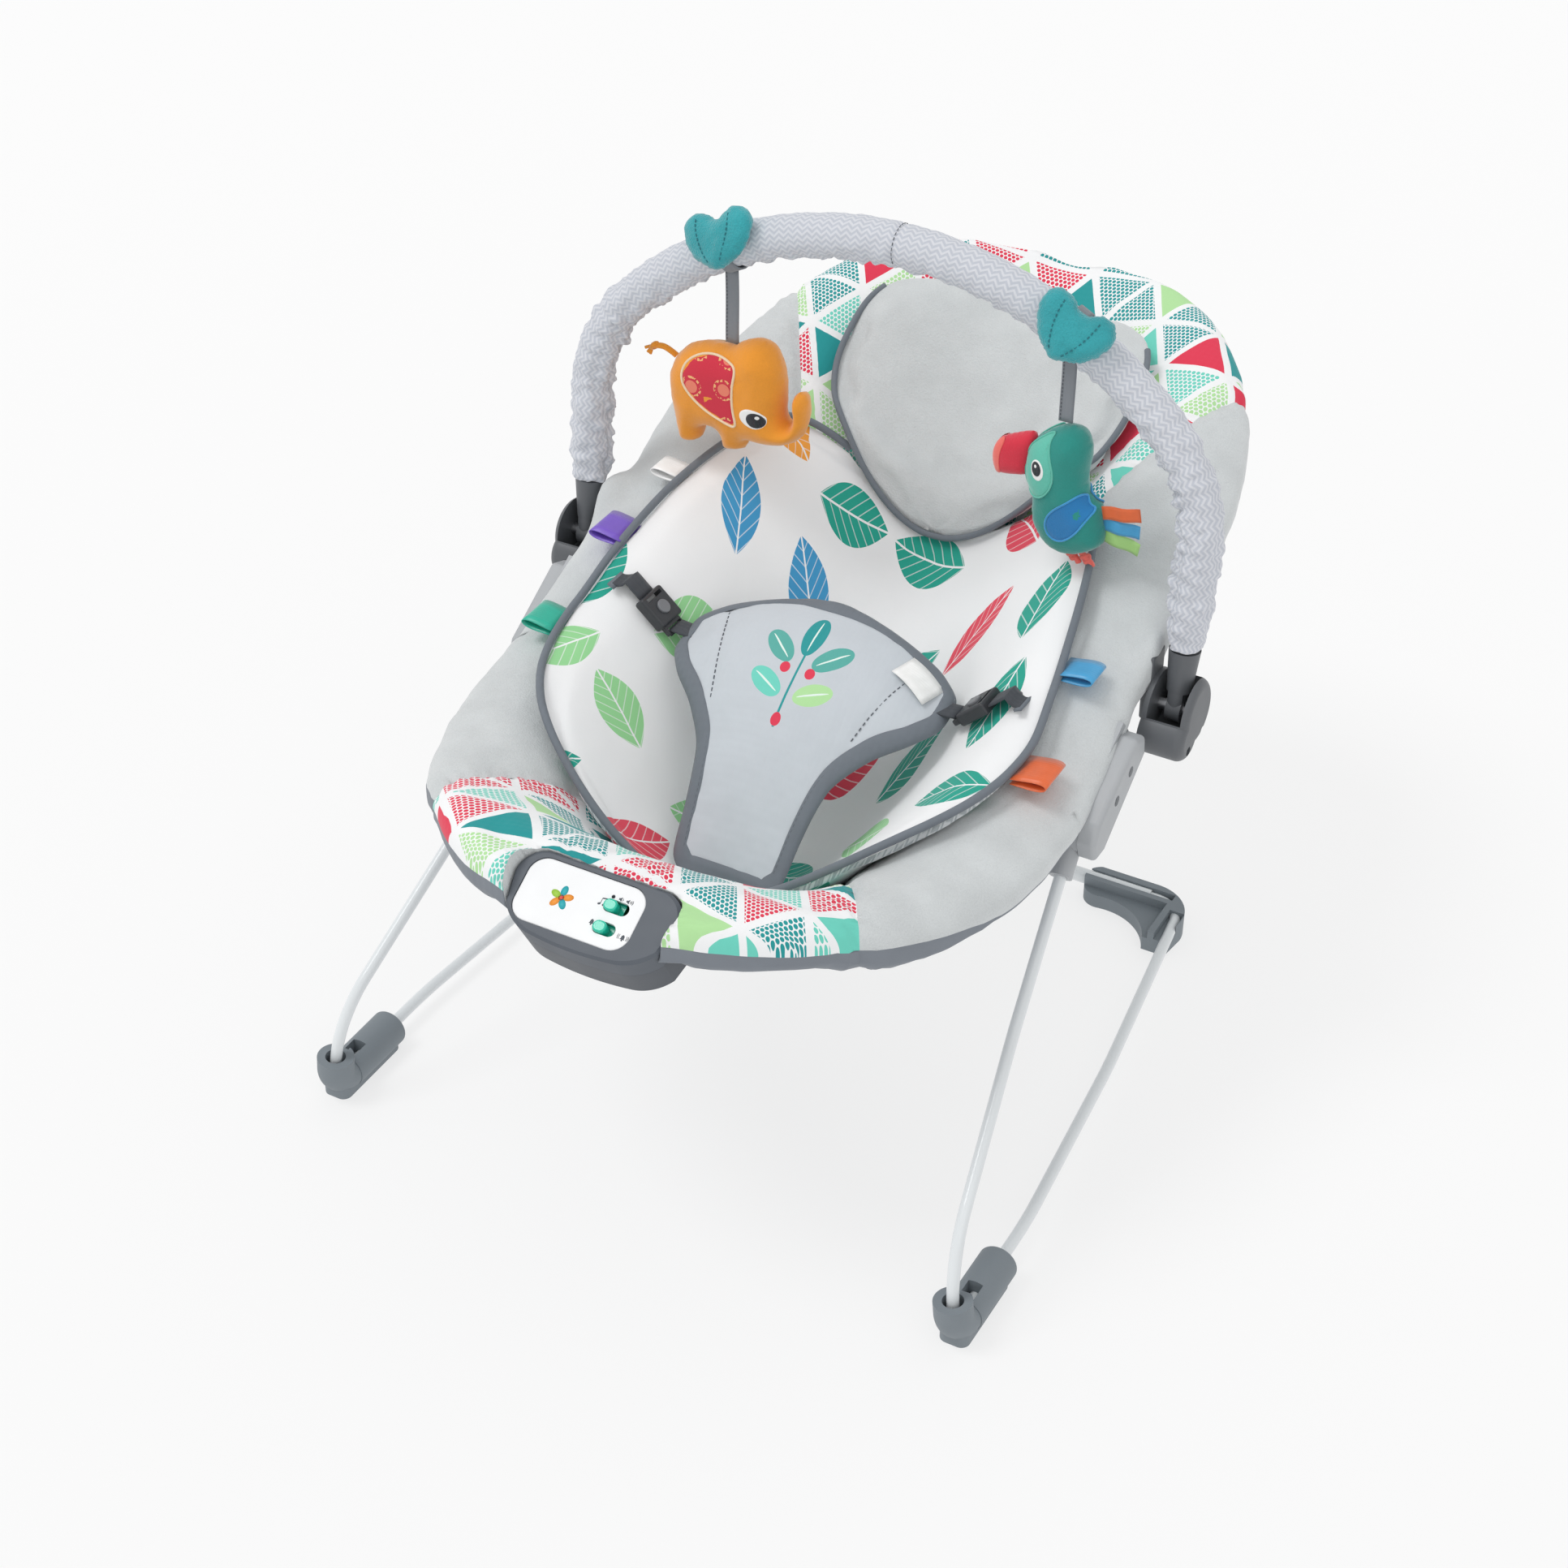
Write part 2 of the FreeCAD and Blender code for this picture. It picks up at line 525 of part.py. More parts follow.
def heart(x):
    """A plush heart on the front of the bar, leaning back to face the seat's foot end."""
    lobe, point = 11.0, 24.0
    at = lambda a, b: V(a, b, 0)
    edges = [
        Part.Arc(at(0, 7), at(lobe, 7 + lobe), at(2 * lobe, 7)).toShape(),
        Part.Arc(at(2 * lobe, 7), at(16, -9), at(0, -point)).toShape(),
        Part.Arc(at(0, -point), at(-16, -9), at(-2 * lobe, 7)).toShape(),
        Part.Arc(at(-2 * lobe, 7), at(-lobe, 7 + lobe), at(0, 7)).toShape(),
    ]
    layers = []
    for size, height in ((0.8, 0), (0.95, 2), (1.0, 6), (0.95, 10), (0.8, 12)):
        layer = Part.Wire(edges).copy()
        layer.scale(size)
        layer.translate(V(0, 0, height))
        layers.append(layer)
    body = Part.makeLoft(layers, True, True)
    body.translate(V(0, 0, SLEEVE_R + 2.0))
    lean = math.degrees(math.atan2(1.0, 0.55))
    body.rotate(V(0, 0, 0), V(1, 0, 0), lean)
    body.rotate(V(0, 0, 0), V(0, 1, 0), math.degrees(math.asin(x / 268.0)) * 0.9)
    body.translate(bar_point(x))
    return body


def strap_loop(x):
    """The band sewn round the sleeve that a toy's strap hangs from."""
    middle = bar_point(x)
    side = bar_point(x + 1) - bar_point(x - 1)
    side.normalize()
    ring = Part.makeCylinder(SLEEVE_R + 1.4, 10, middle - side * 5, side)
    return ring.cut(Part.makeCylinder(SLEEVE_R + 0.2, 12, middle - side * 6, side))


def strap_top(x):
    return bar_point(x) - V(0, 0, (SLEEVE_R + 3.2) / math.cos(math.asin(abs(x) / 268.0)))


def strap_length(x):
    return STRAP_LEN[1 if x > 0 else -1]


def toy_strap(x):
    top = strap_top(x)
    return box((top.x - 4.5, top.y - 0.7, top.z - strap_length(x)), (top.x + 4.5, top.y + 0.7, top.z))


def under_strap(toy, x):
    """Moves a toy so that its centre of mass hangs under its strap and its top meets the strap."""
    top = strap_top(x)
    com = V(0, 0, 0)
    for solid in toy.Solids:
        com += solid.CenterOfMass * (solid.Volume / toy.Volume)
    toy.translate(V(top.x - com.x, top.y - com.y, top.z - strap_length(x) - 1.0 - toy.BoundBox.ZMax))
    return toy


def egg(centre, turn, half_length, r):
    """An egg shape; its long axis lies in the XZ plane, turned down from +X by an angle in degrees."""
    tip = math.asin(1.0 / r)
    rim = Part.ArcOfEllipse(Part.Ellipse(V(0, 0, 0), half_length, r), tip, math.pi - tip).toShape()
    far = half_length * math.cos(tip)
    ends = Part.makePolygon([V(-far, 1, 0), V(-far, 0, 0), V(far, 0, 0), V(far, 1, 0)])
    body = Part.Face(Part.Wire([rim] + ends.Edges)).revolve(V(0, 0, 0), V(1, 0, 0), 360)
    body.rotate(V(0, 0, 0), V(0, 1, 0), turn)
    body.translate(V(*centre))
    return body


def joined(pieces):
    return pieces[0].multiFuse(pieces[1:]).removeSplitter()


ELEPHANT_SIZE = 0.94       # scale of the drawn toy


def elephant():
    """Stuffed elephant, side on, trunk towards +X."""
    pieces = [egg((-22, 0, -4), 84, 36, 25), egg((-8, 0, -8), 0, 36, 26), egg((20, 0, 2), 80, 39, 23)]
    for x, z in ((-33, -36), (3, -35)):
        for y in (-9, 9):
            pieces.append(egg((x, y, z), 90, 15, 8.5))
    trunk = rounded_path([(30, 0, -26), (52, 0, -26), (55, 0, -2)], [14])
    pieces += [pipe(trunk, 7.0), Part.makeSphere(8.0, V(55, 0, -2))]
    return joined(pieces).scale(ELEPHANT_SIZE)


def elephant_tail():
    cord = rounded_path([(-48.5, 0, 8), (-54, 0, 13), (-64, 0, 10)], [6])
    return pipe(cord, 2.2).scale(ELEPHANT_SIZE)


def bird():
    """Stuffed bird, side on, beak towards -X."""
    pieces = [egg((0, 0, 34), 90, 20, 17.5), egg((5, 0, 12), 80, 26, 14.5), egg((15, 0, -11), 28, 28, 21),
              egg((-22, 0, 29), -8, 22, 10)]
    pieces += [egg((x, 0, -36), 90, 9, 3.2) for x in (6, 15)]
    return joined(pieces)


def bird_ribbons():
    """Three short satin ribbons at the tail."""
    strips = []
    for i, turn in enumerate((-16, 2, 20)):
        strip = box((44.6, -0.8, -16.5), (58, 0.8, -7.5))
        strip.rotate(V(16, 0, -12), V(0, 1, 0), turn)
        strip.translate(V(0, (i - 1) * 2.2, 0))
        strips.append(strip)
    return strips


# ---------------------------------------------------------------- control unit, in its own frame
def unit_place(shape):
    """From the unit's frame (face centre at the origin, +Z out of the face) to the seat's."""
    shape = shape.copy()
    shape.rotate(V(0, 0, 0), V(1, 0, 0), UNIT_TILT)
    shape.translate(V(0, UNIT_Y, UNIT_Z))
    return shape


def unit_outline(grow=0.0):
    """Rounded case outline, bowed along its lower edge."""
    x, top, side, low = UNIT_W / 2 + grow, 24 + grow, -14 - grow * 0.4, -30 - grow
    at = lambda a, b: V(a, b, 0)
    edges = [
        Part.makeLine(at(-x + 16, top), at(x - 16, top)),
        Part.Arc(at(x - 16, top), at(x - 4.5, top - 6), at(x, top - 18)).toShape(),
        Part.makeLine(at(x, top - 18), at(x - 4, side)),
        Part.Arc(at(x - 4, side), at(x - 13, low + 7), at(x - 26, low + 2)).toShape(),
        Part.Arc(at(x - 26, low + 2), at(0, low), at(-x + 26, low + 2)).toShape(),
        Part.Arc(at(-x + 26, low + 2), at(-x + 13, low + 7), at(-x + 4, side)).toShape(),
        Part.makeLine(at(-x + 4, side), at(-x, top - 18)),
        Part.Arc(at(-x, top - 18), at(-x + 4.5, top - 6), at(-x + 16, top)).toShape(),
    ]
    return Part.Wire(edges)


def face_outline(grow=0.0):
    return rounded_rect(80 + 2 * grow, 42 + 2 * grow, 12 + grow, -8, -1)


DOOR_SCREW = (3.0, -2.0)
SLOTS = {"volume": (15.0, 4.5, 7.0), "vibration": (14.0, -10.0, 5.0)}   # centre and travel
UNIT_SCREWS = ((-48, 4), (48, 4), (-28, -23.5), (30, -23.5))
CELL_ROWS = (-14.0, -3.0, 8.0)
DOOR = (52.0, 36.0, 5.0, -17.0, -2.0)      # opening: width, height, corner, centre


def unit_block(*levels):
    """The unit's outline as a block: each level is a height and how far the outline grows there."""
    wires = []
    for height, grow in levels:
        wire = unit_outline(grow)
        wire.translate(V(0, 0, height))
        wires.append(wire)
    return Part.makeLoft(wires, True, True)


def unit_front_housing():
    shell = unit_block((UNIT_SPLIT + 0.1, 0), (0.9, 0), (2.5, -1.6))
    shell = shell.cut(slab(unit_outline(-2.4), UNIT_SPLIT - 1, -2.6))
    shell = shell.cut(slab(face_outline(0.15), -0.6, 10)).cut(slab(face_outline(-2.5), -10, 10))
    for x, y in UNIT_SCREWS:
        boss = cylinder((x, y, UNIT_SPLIT + 0.1), (x, y, -2.4), 3.4)
        shell = shell.fuse(boss).cut(cylinder((x, y, UNIT_SPLIT - 1), (x, y, -4), SCREW_BORE))
    return shell


def unit_face_plate():
    plate = slab(face_outline(), -0.5, 1.9)
    plate = plate.makeFillet(0.8, [e for e in plate.Edges if e.BoundBox.ZMin > 1.8])
    for x, y, travel in SLOTS.values():
        plate = plate.cut(slab(rounded_rect(10 + travel, 8.4, 4.15, x, y), -5, 5))
    return plate


def unit_rear_case():
    shell = unit_block((UNIT_BACK, -1.6), (UNIT_BACK + 1.6, 0), (UNIT_SPLIT, 0))
    shell = shell.cut(slab(unit_outline(-2.4), UNIT_BACK + 2.4, UNIT_SPLIT + 1))
    shell = shell.cut(slab(rounded_rect(*DOOR), UNIT_BACK - 1, UNIT_BACK + 5))
    for x, y in UNIT_SCREWS:
        post = cylinder((x, y, UNIT_BACK + 1), (x, y, UNIT_SPLIT), 3.8)
        shell = shell.fuse(post).cut(cylinder((x, y, UNIT_BACK - 1), (x, y, UNIT_SPLIT + 1), 1.75))
        shell = shell.cut(cylinder((x, y, UNIT_BACK - 1), (x, y, UNIT_BACK + 3), 3.3))
    sx, sy = DOOR_SCREW
    bridge = box((sx - 4.5, -23, -33.9), (sx + 4.5, 18.5, -31.2))
    for low, high in ((-23, -20.3), (16.3, 18.5)):
        bridge = bridge.fuse(box((sx - 4.5, low, -35.8), (sx + 4.5, high, -33.9)))
    return shell.fuse(bridge.cut(cylinder((sx, sy, -36), (sx, sy, -30), SCREW_BORE)))


CLIP_X = 22.0
CLIP_W = 10.0


def unit_clips():
    """Two hooks from the rear case over the front tube, in the seat's frame."""
    hook = box((CLIP_X, -8.5, 246), (CLIP_X + CLIP_W, 17, 260.5))
    hook = hook.cut(pipe(front_loop_path(), FRAME_R + 0.15))
    return both(hook.cut(box((CLIP_X - 1, 4.0, 240), (CLIP_X + CLIP_W + 1, 12.0, 252.5))))


def battery_door():
    w, h, corner, x, y = DOOR
    door = slab(rounded_rect(w - 0.6, h - 0.6, corner - 0.3, x, y), UNIT_BACK, UNIT_BACK + 2.2)
    sx, sy = DOOR_SCREW
    door = door.fuse(cylinder((sx, sy, UNIT_BACK), (sx, sy, UNIT_BACK + 4), 4.2))
    door = door.cut(cylinder((sx, sy, UNIT_BACK - 1), (sx, sy, UNIT_BACK + 6), 1.75))
    return door.cut(cylinder((sx, sy, UNIT_BACK - 1), (sx, sy, UNIT_BACK + 1.9), 3.2))


def knob(name):
    """Slide knob: a ridged cap above the face on a stem; stored at the off end of its slot."""
    x, y, travel = SLOTS[name]
    x -= travel / 2
    cap = slab(rounded_rect(9.0, 7.6, 3.7, x, y), -3.4, 4.4)
    cap = cap.makeFillet(1.2, [e for e in cap.Edges if e.BoundBox.ZMin > 4.3])
    flange = slab(rounded_rect(14.0, 11.0, 2, x, y), -4.4, -3.4)
    stem = cylinder((x, y, -8.2), (x, y, -4.4), 1.5)
    return cap.fuse(flange).fuse(stem).removeSplitter()


def batteries():
    cells = []
    for y in CELL_ROWS:
        can = cylinder((-41, y, -25.5), (2.7, y, -25.5), 5.15)
        nub = cylinder((2.7, y, -25.5), (3.5, y, -25.5), 1.9)
        cells.append(can.fuse(nub))
    return cells


def battery_contacts():
    plates = []
    for y in CELL_ROWS:
        plates.append(box((-41.9, y - 4, -30), (-41.1, y + 4, -21)))
        plates.append(box((3.6, y - 4, -30), (4.4, y + 4, -21)))
    return plates


def motor_weight():
    disc = cylinder((33, -9, -24), (41, -9, -24), 7.5)
    disc = disc.cut(box((32, -20, -24), (42, 5, -10)))
    disc = disc.fuse(cylinder((33, -9, -24), (41, -9, -24), 2.6))
    return disc.cut(cylinder((30, -9, -24), (45, -9, -24), 1.05))


# ---------------------------------------------------------------- restraint
def panel_height(x, y):
    """Middle surface of the crotch panel, arched between its crown line and its two edges."""
    s = min(abs(x) / max(panel_half(y), 1e-3), 1.0)
    return panel_crown(y) + (panel_edge(y) - panel_crown(y)) * s ** 2.2


PANEL_HALF = [(106, 28), (114, 38), (135, 41), (160, 47), (182, 64), (202, 86), (222, 97),
              (240, 96), (252, 84), (262, 58), (267, 30)]
PANEL_CROWN = [(104, 179), (125, 207), (160, 249), (200, 282), (235, 299), (268, 305)]
PANEL_EDGE = [(104, 180), (125, 205), (160, 241), (200, 266), (235, 274), (268, 292)]
PANEL_T = 8.0
panel_half, panel_crown, panel_edge = table(PANEL_HALF), table(PANEL_CROWN), table(PANEL_EDGE)


def restraint_panel():
    return stuffed(PANEL_HALF, panel_height, lambda y: PANEL_T)


BUCKLE_Y = 231.0
BUCKLE_SLOPE = 42.0
BUCKLE_LIFT = 12.5


def buckle_place(shape):
    """From the buckle's frame (+X outward along the strap, +Z off the pad) to the seat's."""
    shape = shape.copy()
    shape.rotate(V(0, 0, 0), V(0, 1, 0), -BUCKLE_SLOPE)
    shape.translate(V(116, BUCKLE_Y, sling(116, BUCKLE_Y) + PAD_T + BUCKLE_LIFT))
    return shape


def buckle_housing():
    body = box((-9, -12, -4), (15, 12, 5), 2.0)
    body = body.cut(box((-12, -9.2, -2.2), (8, 9.2, 2.2)))
    body = body.cut(cylinder((2, 0, 0), (2, 0, 10), 5.2))
    return body.cut(box((10, -8.2, -5), (12.6, 8.2, 6)))


def buckle_tongue():
    plate = box((-15.5, -9, -2), (7.8, 9, 2), 0.8)
    return plate.cut(box((-13.6, -7.5, -5), (-11.2, 7.5, 5)))


def buckle_button():
    cap = cylinder((2, 0, 3.5), (2, 0, 6.6), 5.0)
    return cap.makeFillet(0.8, [e for e in cap.Edges if e.BoundBox.ZMin > 6.5])


def waist_strap():
    """Webbing from the buckle's bar up to the slit at the pad's edge."""
    run = box((15.1, -7.8, -1.0), (31, 7.8, 0.4))
    return run


# ---------------------------------------------------------------- loop tags
TAGS = [(-1, 266, 26), (-1, 190, 24), (-1, 322, 18), (1, 188, 26), (1, 262, 20)]   # side, place, width


def loop_tag(side, y, width):
    """A folded ribbon loop sewn under the pad's piping, standing out over the bolster."""
    x = pad_half(y) + 2.2
    z = sling(x, y) + 9.5
    return box((side * x if side > 0 else side * (x + 21), y - width / 2, z),
               (side * (x + 21) if side > 0 else side * x, y + width / 2, z + 3.5), 1.0)


# ---------------------------------------------------------------- build and write
def build_base():
    pair("base_rail", pipe(rail_path(), WIRE_R))
    pair("front_foot", front_foot())
    pair("rear_foot", rear_foot())
    tube = cylinder((-TUBE_END_X, CORNER_Y, RAIL_Z), (TUBE_END_X, CORNER_Y, RAIL_Z), CROSS_TUBE_R)
    write("rear_cross_tube", tube.cut(
        cylinder((-TUBE_END_X - 1, CORNER_Y, RAIL_Z), (TUBE_END_X + 1, CORNER_Y, RAIL_Z), CROSS_BORE_R)))


def build_frame():
    pair("spring_arm", pipe(arm_path(), WIRE_R))
    pair("bracket_inner", bracket_inner())
    pair("bracket_outer", bracket_outer())
    for name, path in (("seat_frame_front_loop", front_loop_path()), ("seat_frame_rear_loop", rear_loop_path())):
        write(name, pipe(path, FRAME_R))
    pair("hub_base", hub_base())
    pair("hub_cap", hub_cap())
    write("pivot_pins", *both(pivot_pin()))
    screws = [screw((211, y, z), (-1, 0, 0), 12) for y, z in BRACKET_SCREWS]
    screws += [screw((HUB_OUT - 8, y, z), (-1, 0, 0), 16) for y, z in HUB_SCREWS]
    write("frame_screws", *[s for one in screws for s in both(one)])


def unit_pocket(grow):
    return unit_place(slab(unit_outline(grow), UNIT_BACK - 12, 40))


def build_soft():
    cover = seat_cover_blank()
    cutters = [pipe(front_loop_path(), FRAME_R + 0.3), pipe(rear_loop_path(), FRAME_R + 0.3)]
    cutters += both(bracket_blank(0.6))
    cutters += both(box((183, PIVOT_Y - 11, 260), (215, PIVOT_Y + 11, 314)))
    cutters += both(plate_blank(204.6, 14).fuse(plate_blank(204.6, 14).translated(V(0, -0.7, 0.7))))
    cutters += both(box((CLIP_X - 0.6, -12, 245), (CLIP_X + CLIP_W + 0.6, 18, 261.2)))
    cutters += [unit_pocket(1.5)]
    for cutter in cutters:
        cover = cover.cut(cutter)
    write("seat_cover", max(cover.Solids, key=lambda s: s.Volume))
    write("body_pad", lying_pad(PAD_HALF, lambda y: PAD_T))
    write("headrest", lying_pad(HEAD_HALF, head_t))
    write("restraint_panel", restraint_panel())
    write("loop_tags", *[loop_tag(*tag) for tag in TAGS])
    write("waist_straps", *both(buckle_place(waist_strap())))
    for name, shape in (("buckle_housing", buckle_housing()), ("buckle_tongue", buckle_tongue()),
                        ("buckle_button", buckle_button())):
        pair(name, buckle_place(shape))
    write("underside_panel", underside_panel())


def underside_panel():
    """Dark fabric under the foot end: a thin skin below the cover, open round the unit."""
    gap, thick, reach = 1.2, 2.5, 0.72
    rows = {0: [], 1: []}
    for y in (-2, 12, 35, 66, 106, 150, 185):
        half = half_width(y) * reach
        for side in rows:
            drop = gap + side * thick
            rows[side].append([V(s * half, y, sling_bottom(s * half, y) - drop) for s in PAD_STOPS])
    skin = skin_solid(rows[0], rows[1]).cut(unit_pocket(1.5))
    skin = skin.cut(pipe(front_loop_path(), FRAME_R + 0.3)).cut(unit_place(box((-60, -60, -60), (60, 60, UNIT_BACK + 3))))
    return max(skin.Solids, key=lambda piece: piece.Volume)


def build_unit():
    motor = cylinder((14, -9, -24), (30, -9, -24), 8.5).fuse(cylinder((30, -9, -24), (43, -9, -24), 1.0))
    speaker = cylinder((30, 11, -32), (30, 11, -25), 10).fuse(cylinder((30, 11, -25), (30, 11, -23), 7))
    board = slab(rounded_rect(84, 30, 2, 0, 0), -10.2, -8.6)
    door_screw = screw((*DOOR_SCREW, UNIT_BACK + 1.9), (0, 0, 1), 4.6)
    pieces = {
        "unit_front_housing": [unit_front_housing()],
        "unit_face_plate": [unit_face_plate()],
        "battery_door": [battery_door()],
        "battery_door_screw": [door_screw],
        "volume_knob": [knob("volume")],
        "vibration_knob": [knob("vibration")],
        "batteries": batteries(),
        "battery_contacts": battery_contacts(),
        "circuit_board": [board],
        "speaker": [speaker],
        "vibration_motor": [motor],
        "motor_weight": [motor_weight()],
        "unit_screws": [screw((a, b, UNIT_BACK + 3), (0, 0, 1), 30.5) for a, b in UNIT_SCREWS],
    }
    for name, shapes in pieces.items():
        write(name, *[unit_place(s) for s in shapes])
    case = unit_place(unit_rear_case())
    for clip in unit_clips():
        case = case.fuse(clip)
    write("unit_rear_case", case)


def build_toy_bar():
    core, _, _ = bar_arch(CORE_START)
    arch, _, _ = bar_arch(SLEEVE_START + 2.5)
    write("bar_core", pipe(core, BAR_CORE_R))
    write("bar_sleeve", pipe(arch, SLEEVE_R).cut(pipe(core, BAR_CORE_R + 0.2)))
    pair("bar_socket", bar_socket())
    write("plush_hearts", heart(-STRAP_X), heart(STRAP_X))
    write("strap_loops", strap_loop(-STRAP_X), strap_loop(STRAP_X))
    write("toy_strap_left", toy_strap(-STRAP_X))
    write("toy_strap_right", toy_strap(STRAP_X))
    beast = Part.makeCompound([elephant(), elephant_tail()])
    beast = under_strap(beast, -STRAP_X)
    write("elephant_toy", beast.Solids[0])
    write("elephant_tail", beast.Solids[1])
    flyer = Part.makeCompound([bird()] + bird_ribbons())
    flyer = under_strap(flyer, STRAP_X)
    write("bird_toy", flyer.Solids[0])
    write("bird_ribbons", *flyer.Solids[1:])


build_base()
build_frame()
build_soft()
build_unit()
build_toy_bar()
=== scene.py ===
"""Looks of the infant bouncer seat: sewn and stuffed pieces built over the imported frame.

Lengths in the shape tables are millimetres in the seat's own frame (Y measured back from the front bends
of the floor wire). at() turns them into metres in the row frame.
"""

import math

import bmesh
import bpy
import numpy as np
from mathutils import Matrix, Vector, noise


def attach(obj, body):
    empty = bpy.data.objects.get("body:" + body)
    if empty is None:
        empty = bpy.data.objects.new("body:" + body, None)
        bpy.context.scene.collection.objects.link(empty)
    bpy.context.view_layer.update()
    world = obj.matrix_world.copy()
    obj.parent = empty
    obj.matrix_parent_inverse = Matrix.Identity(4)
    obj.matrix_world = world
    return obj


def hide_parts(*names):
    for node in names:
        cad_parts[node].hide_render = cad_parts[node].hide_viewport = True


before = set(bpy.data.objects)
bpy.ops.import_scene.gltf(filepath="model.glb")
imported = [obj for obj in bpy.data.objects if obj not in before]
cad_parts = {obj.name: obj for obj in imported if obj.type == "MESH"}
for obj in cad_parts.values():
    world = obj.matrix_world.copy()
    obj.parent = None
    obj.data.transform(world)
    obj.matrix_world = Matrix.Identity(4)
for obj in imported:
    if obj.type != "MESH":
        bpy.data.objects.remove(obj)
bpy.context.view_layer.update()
SCENE = bpy.context.scene
CENTRE_Y = 276.0

# ---------------------------------------------------------------- shape of the seat
# each list holds (Y, value) pairs along the seat
HALF_WIDTH = [(-57, 28), (-54, 50), (-48, 74), (-38, 96), (-22, 119), (-4, 136), (12, 152),
              (35, 171), (66, 187), (106, 199), (150, 206), (206, 208), (250, 206), (290, 203.5),
              (330, 203), (365, 206), (402, 206), (446, 200), (486, 190), (527, 172), (560, 151),
              (585, 127), (604, 97), (615, 66), (620.5, 36)]
RIM_Z = [(-58, 268), (-30, 265), (-4, 261), (12, 254), (35, 248), (66, 244), (106, 243), (150, 245),
         (206, 253), (240, 269), (271, 283), (300, 295), (331, 306), (402, 333), (486, 358),
         (527, 372), (586, 388), (622, 398)]
BOLSTER_TOP = [(-58, 5), (-48, 16), (-30, 21), (0, 23), (200, 22), (500, 23), (560, 22), (600, 15),
               (622, 4)]
BOLSTER_BOTTOM = [(-58, 4), (-30, 12), (560, 12), (622, 3)]
HOLLOW = [(-58, -4), (-30, -18), (-8, -21), (12, -18), (28, -6), (50, 28), (75, 62), (100, 86), (150, 104),
          (200, 110), (260, 106), (320, 94), (400, 70), (460, 50), (520, 28), (560, 12), (600, 2), (622, 0)]
BOLSTER_PLACE = 0.8
SLING_THICK = [(-58, 10), (-40, 26), (0, 34), (24, 30), (60, 16), (90, 13), (560, 13), (622, 8)]
PAD_HALF = [(72, 36), (78, 70), (90, 102), (104, 124), (122, 141), (150, 156), (181, 164),
            (203, 166), (235, 163), (283, 155), (319, 147), (359, 135), (390, 122), (408, 104),
            (418, 78), (423, 44)]
PAD_T = 13.0
FABRIC_GAP = 1.5
HEAD_FOOT, HEAD_END, HEAD_W = 402, 560, 108.0
HEAD_T = [(402, 12), (430, 20), (470, 27), (520, 36), (545, 33), (560, 18)]
PANEL_HALF = [(106, 28), (114, 38), (135, 41), (160, 47), (182, 64), (202, 86), (222, 97),
              (240, 96), (252, 84), (262, 58), (267, 30)]
PANEL_CROWN = [(104, 179), (125, 207), (160, 249), (200, 282), (235, 299), (268, 305)]
PANEL_EDGE = [(104, 180), (125, 205), (160, 241), (200, 266), (235, 274), (268, 292)]
PIVOT_Y, PIVOT_Z = 308.0, 275.0
BAR_X, BAR_LEG, BAR_SHOULDER_R = 221.0, 111.5, 95.6
BAR_LEAN = math.radians(7.0)
PUFF_FRAMES = 18
SLEEVE_START, SLEEVE_R = 42.5, 14.0
STRAP_X = 120.0
STRAP_LEN = {-1: 50.0, 1: 44.0}
BAR_CROWN_R = 268.0
UNIT_TILT, UNIT_Y, UNIT_Z = math.radians(29.4), -43.0, 270.5

# seams between the printed end panels and the grey sides, right side: rim end, then pad end
FRONT_SEAM = ((151, 8), (97, 91))
REAR_SEAM = ((176, 524), (92, 388))


def table(pairs):
    """Smooth curve through given points, with no overshoot (monotone cubic)."""
    xs = [float(p[0]) for p in pairs]
    ys = [float(p[1]) for p in pairs]
    n = len(xs)
    step = [xs[i + 1] - xs[i] for i in range(n - 1)]
    slope = [(ys[i + 1] - ys[i]) / step[i] for i in range(n - 1)]
    grad = [slope[0]] + [0.0] * (n - 2) + [slope[-1]]
    for i in range(1, n - 1):
        if slope[i - 1] * slope[i] > 0:
            a, b = 2 * step[i] + step[i - 1], step[i] + 2 * step[i - 1]
            grad[i] = (a + b) / (a / slope[i - 1] + b / slope[i])

    def value(x):
        x = min(max(x, xs[0]), xs[-1])
        i = max(k for k in range(n - 1) if xs[k] <= x)
        t = (x - xs[i]) / step[i]
        return ((1 + 2 * t) * (1 - t) ** 2 * ys[i] + t * (1 - t) ** 2 * step[i] * grad[i]
                + t * t * (3 - 2 * t) * ys[i + 1] + t * t * (t - 1) * step[i] * grad[i + 1])

    return value


half_width, rim_z = table(HALF_WIDTH), table(RIM_Z)
bolster_top, bolster_bottom, hollow = table(BOLSTER_TOP), table(BOLSTER_BOTTOM), table(HOLLOW)
sling_thick = table(SLING_THICK)
pad_half, head_t = table(PAD_HALF), table(HEAD_T)
panel_half, panel_crown, panel_edge = table(PANEL_HALF), table(PANEL_CROWN), table(PANEL_EDGE)


def head_half(y):
    end = min(abs(2 * (y - HEAD_FOOT) / (HEAD_END - HEAD_FOOT) - 1), 1.0)
    return max(6.0, HEAD_W * (1 - end ** 2.5) ** 0.45)


def at(x, y, z):
    return Vector((x / 1000, (y - CENTRE_Y) / 1000, z / 1000))


def clamped(value, low=0.0, high=1.0):
    return min(max(value, low), high)


def plan_place(point):
    """Across and lengthwise place of a point of the row frame, in the seat's millimetres."""
    return point[0] * 1000, point[1] * 1000 + CENTRE_Y


def eased(y0, y1, steps):
    """Places from y0 to y1, closer together towards both ends."""
    return [y0 + (y1 - y0) * (1 - math.cos(math.pi * i / steps)) / 2 for i in range(steps + 1)]


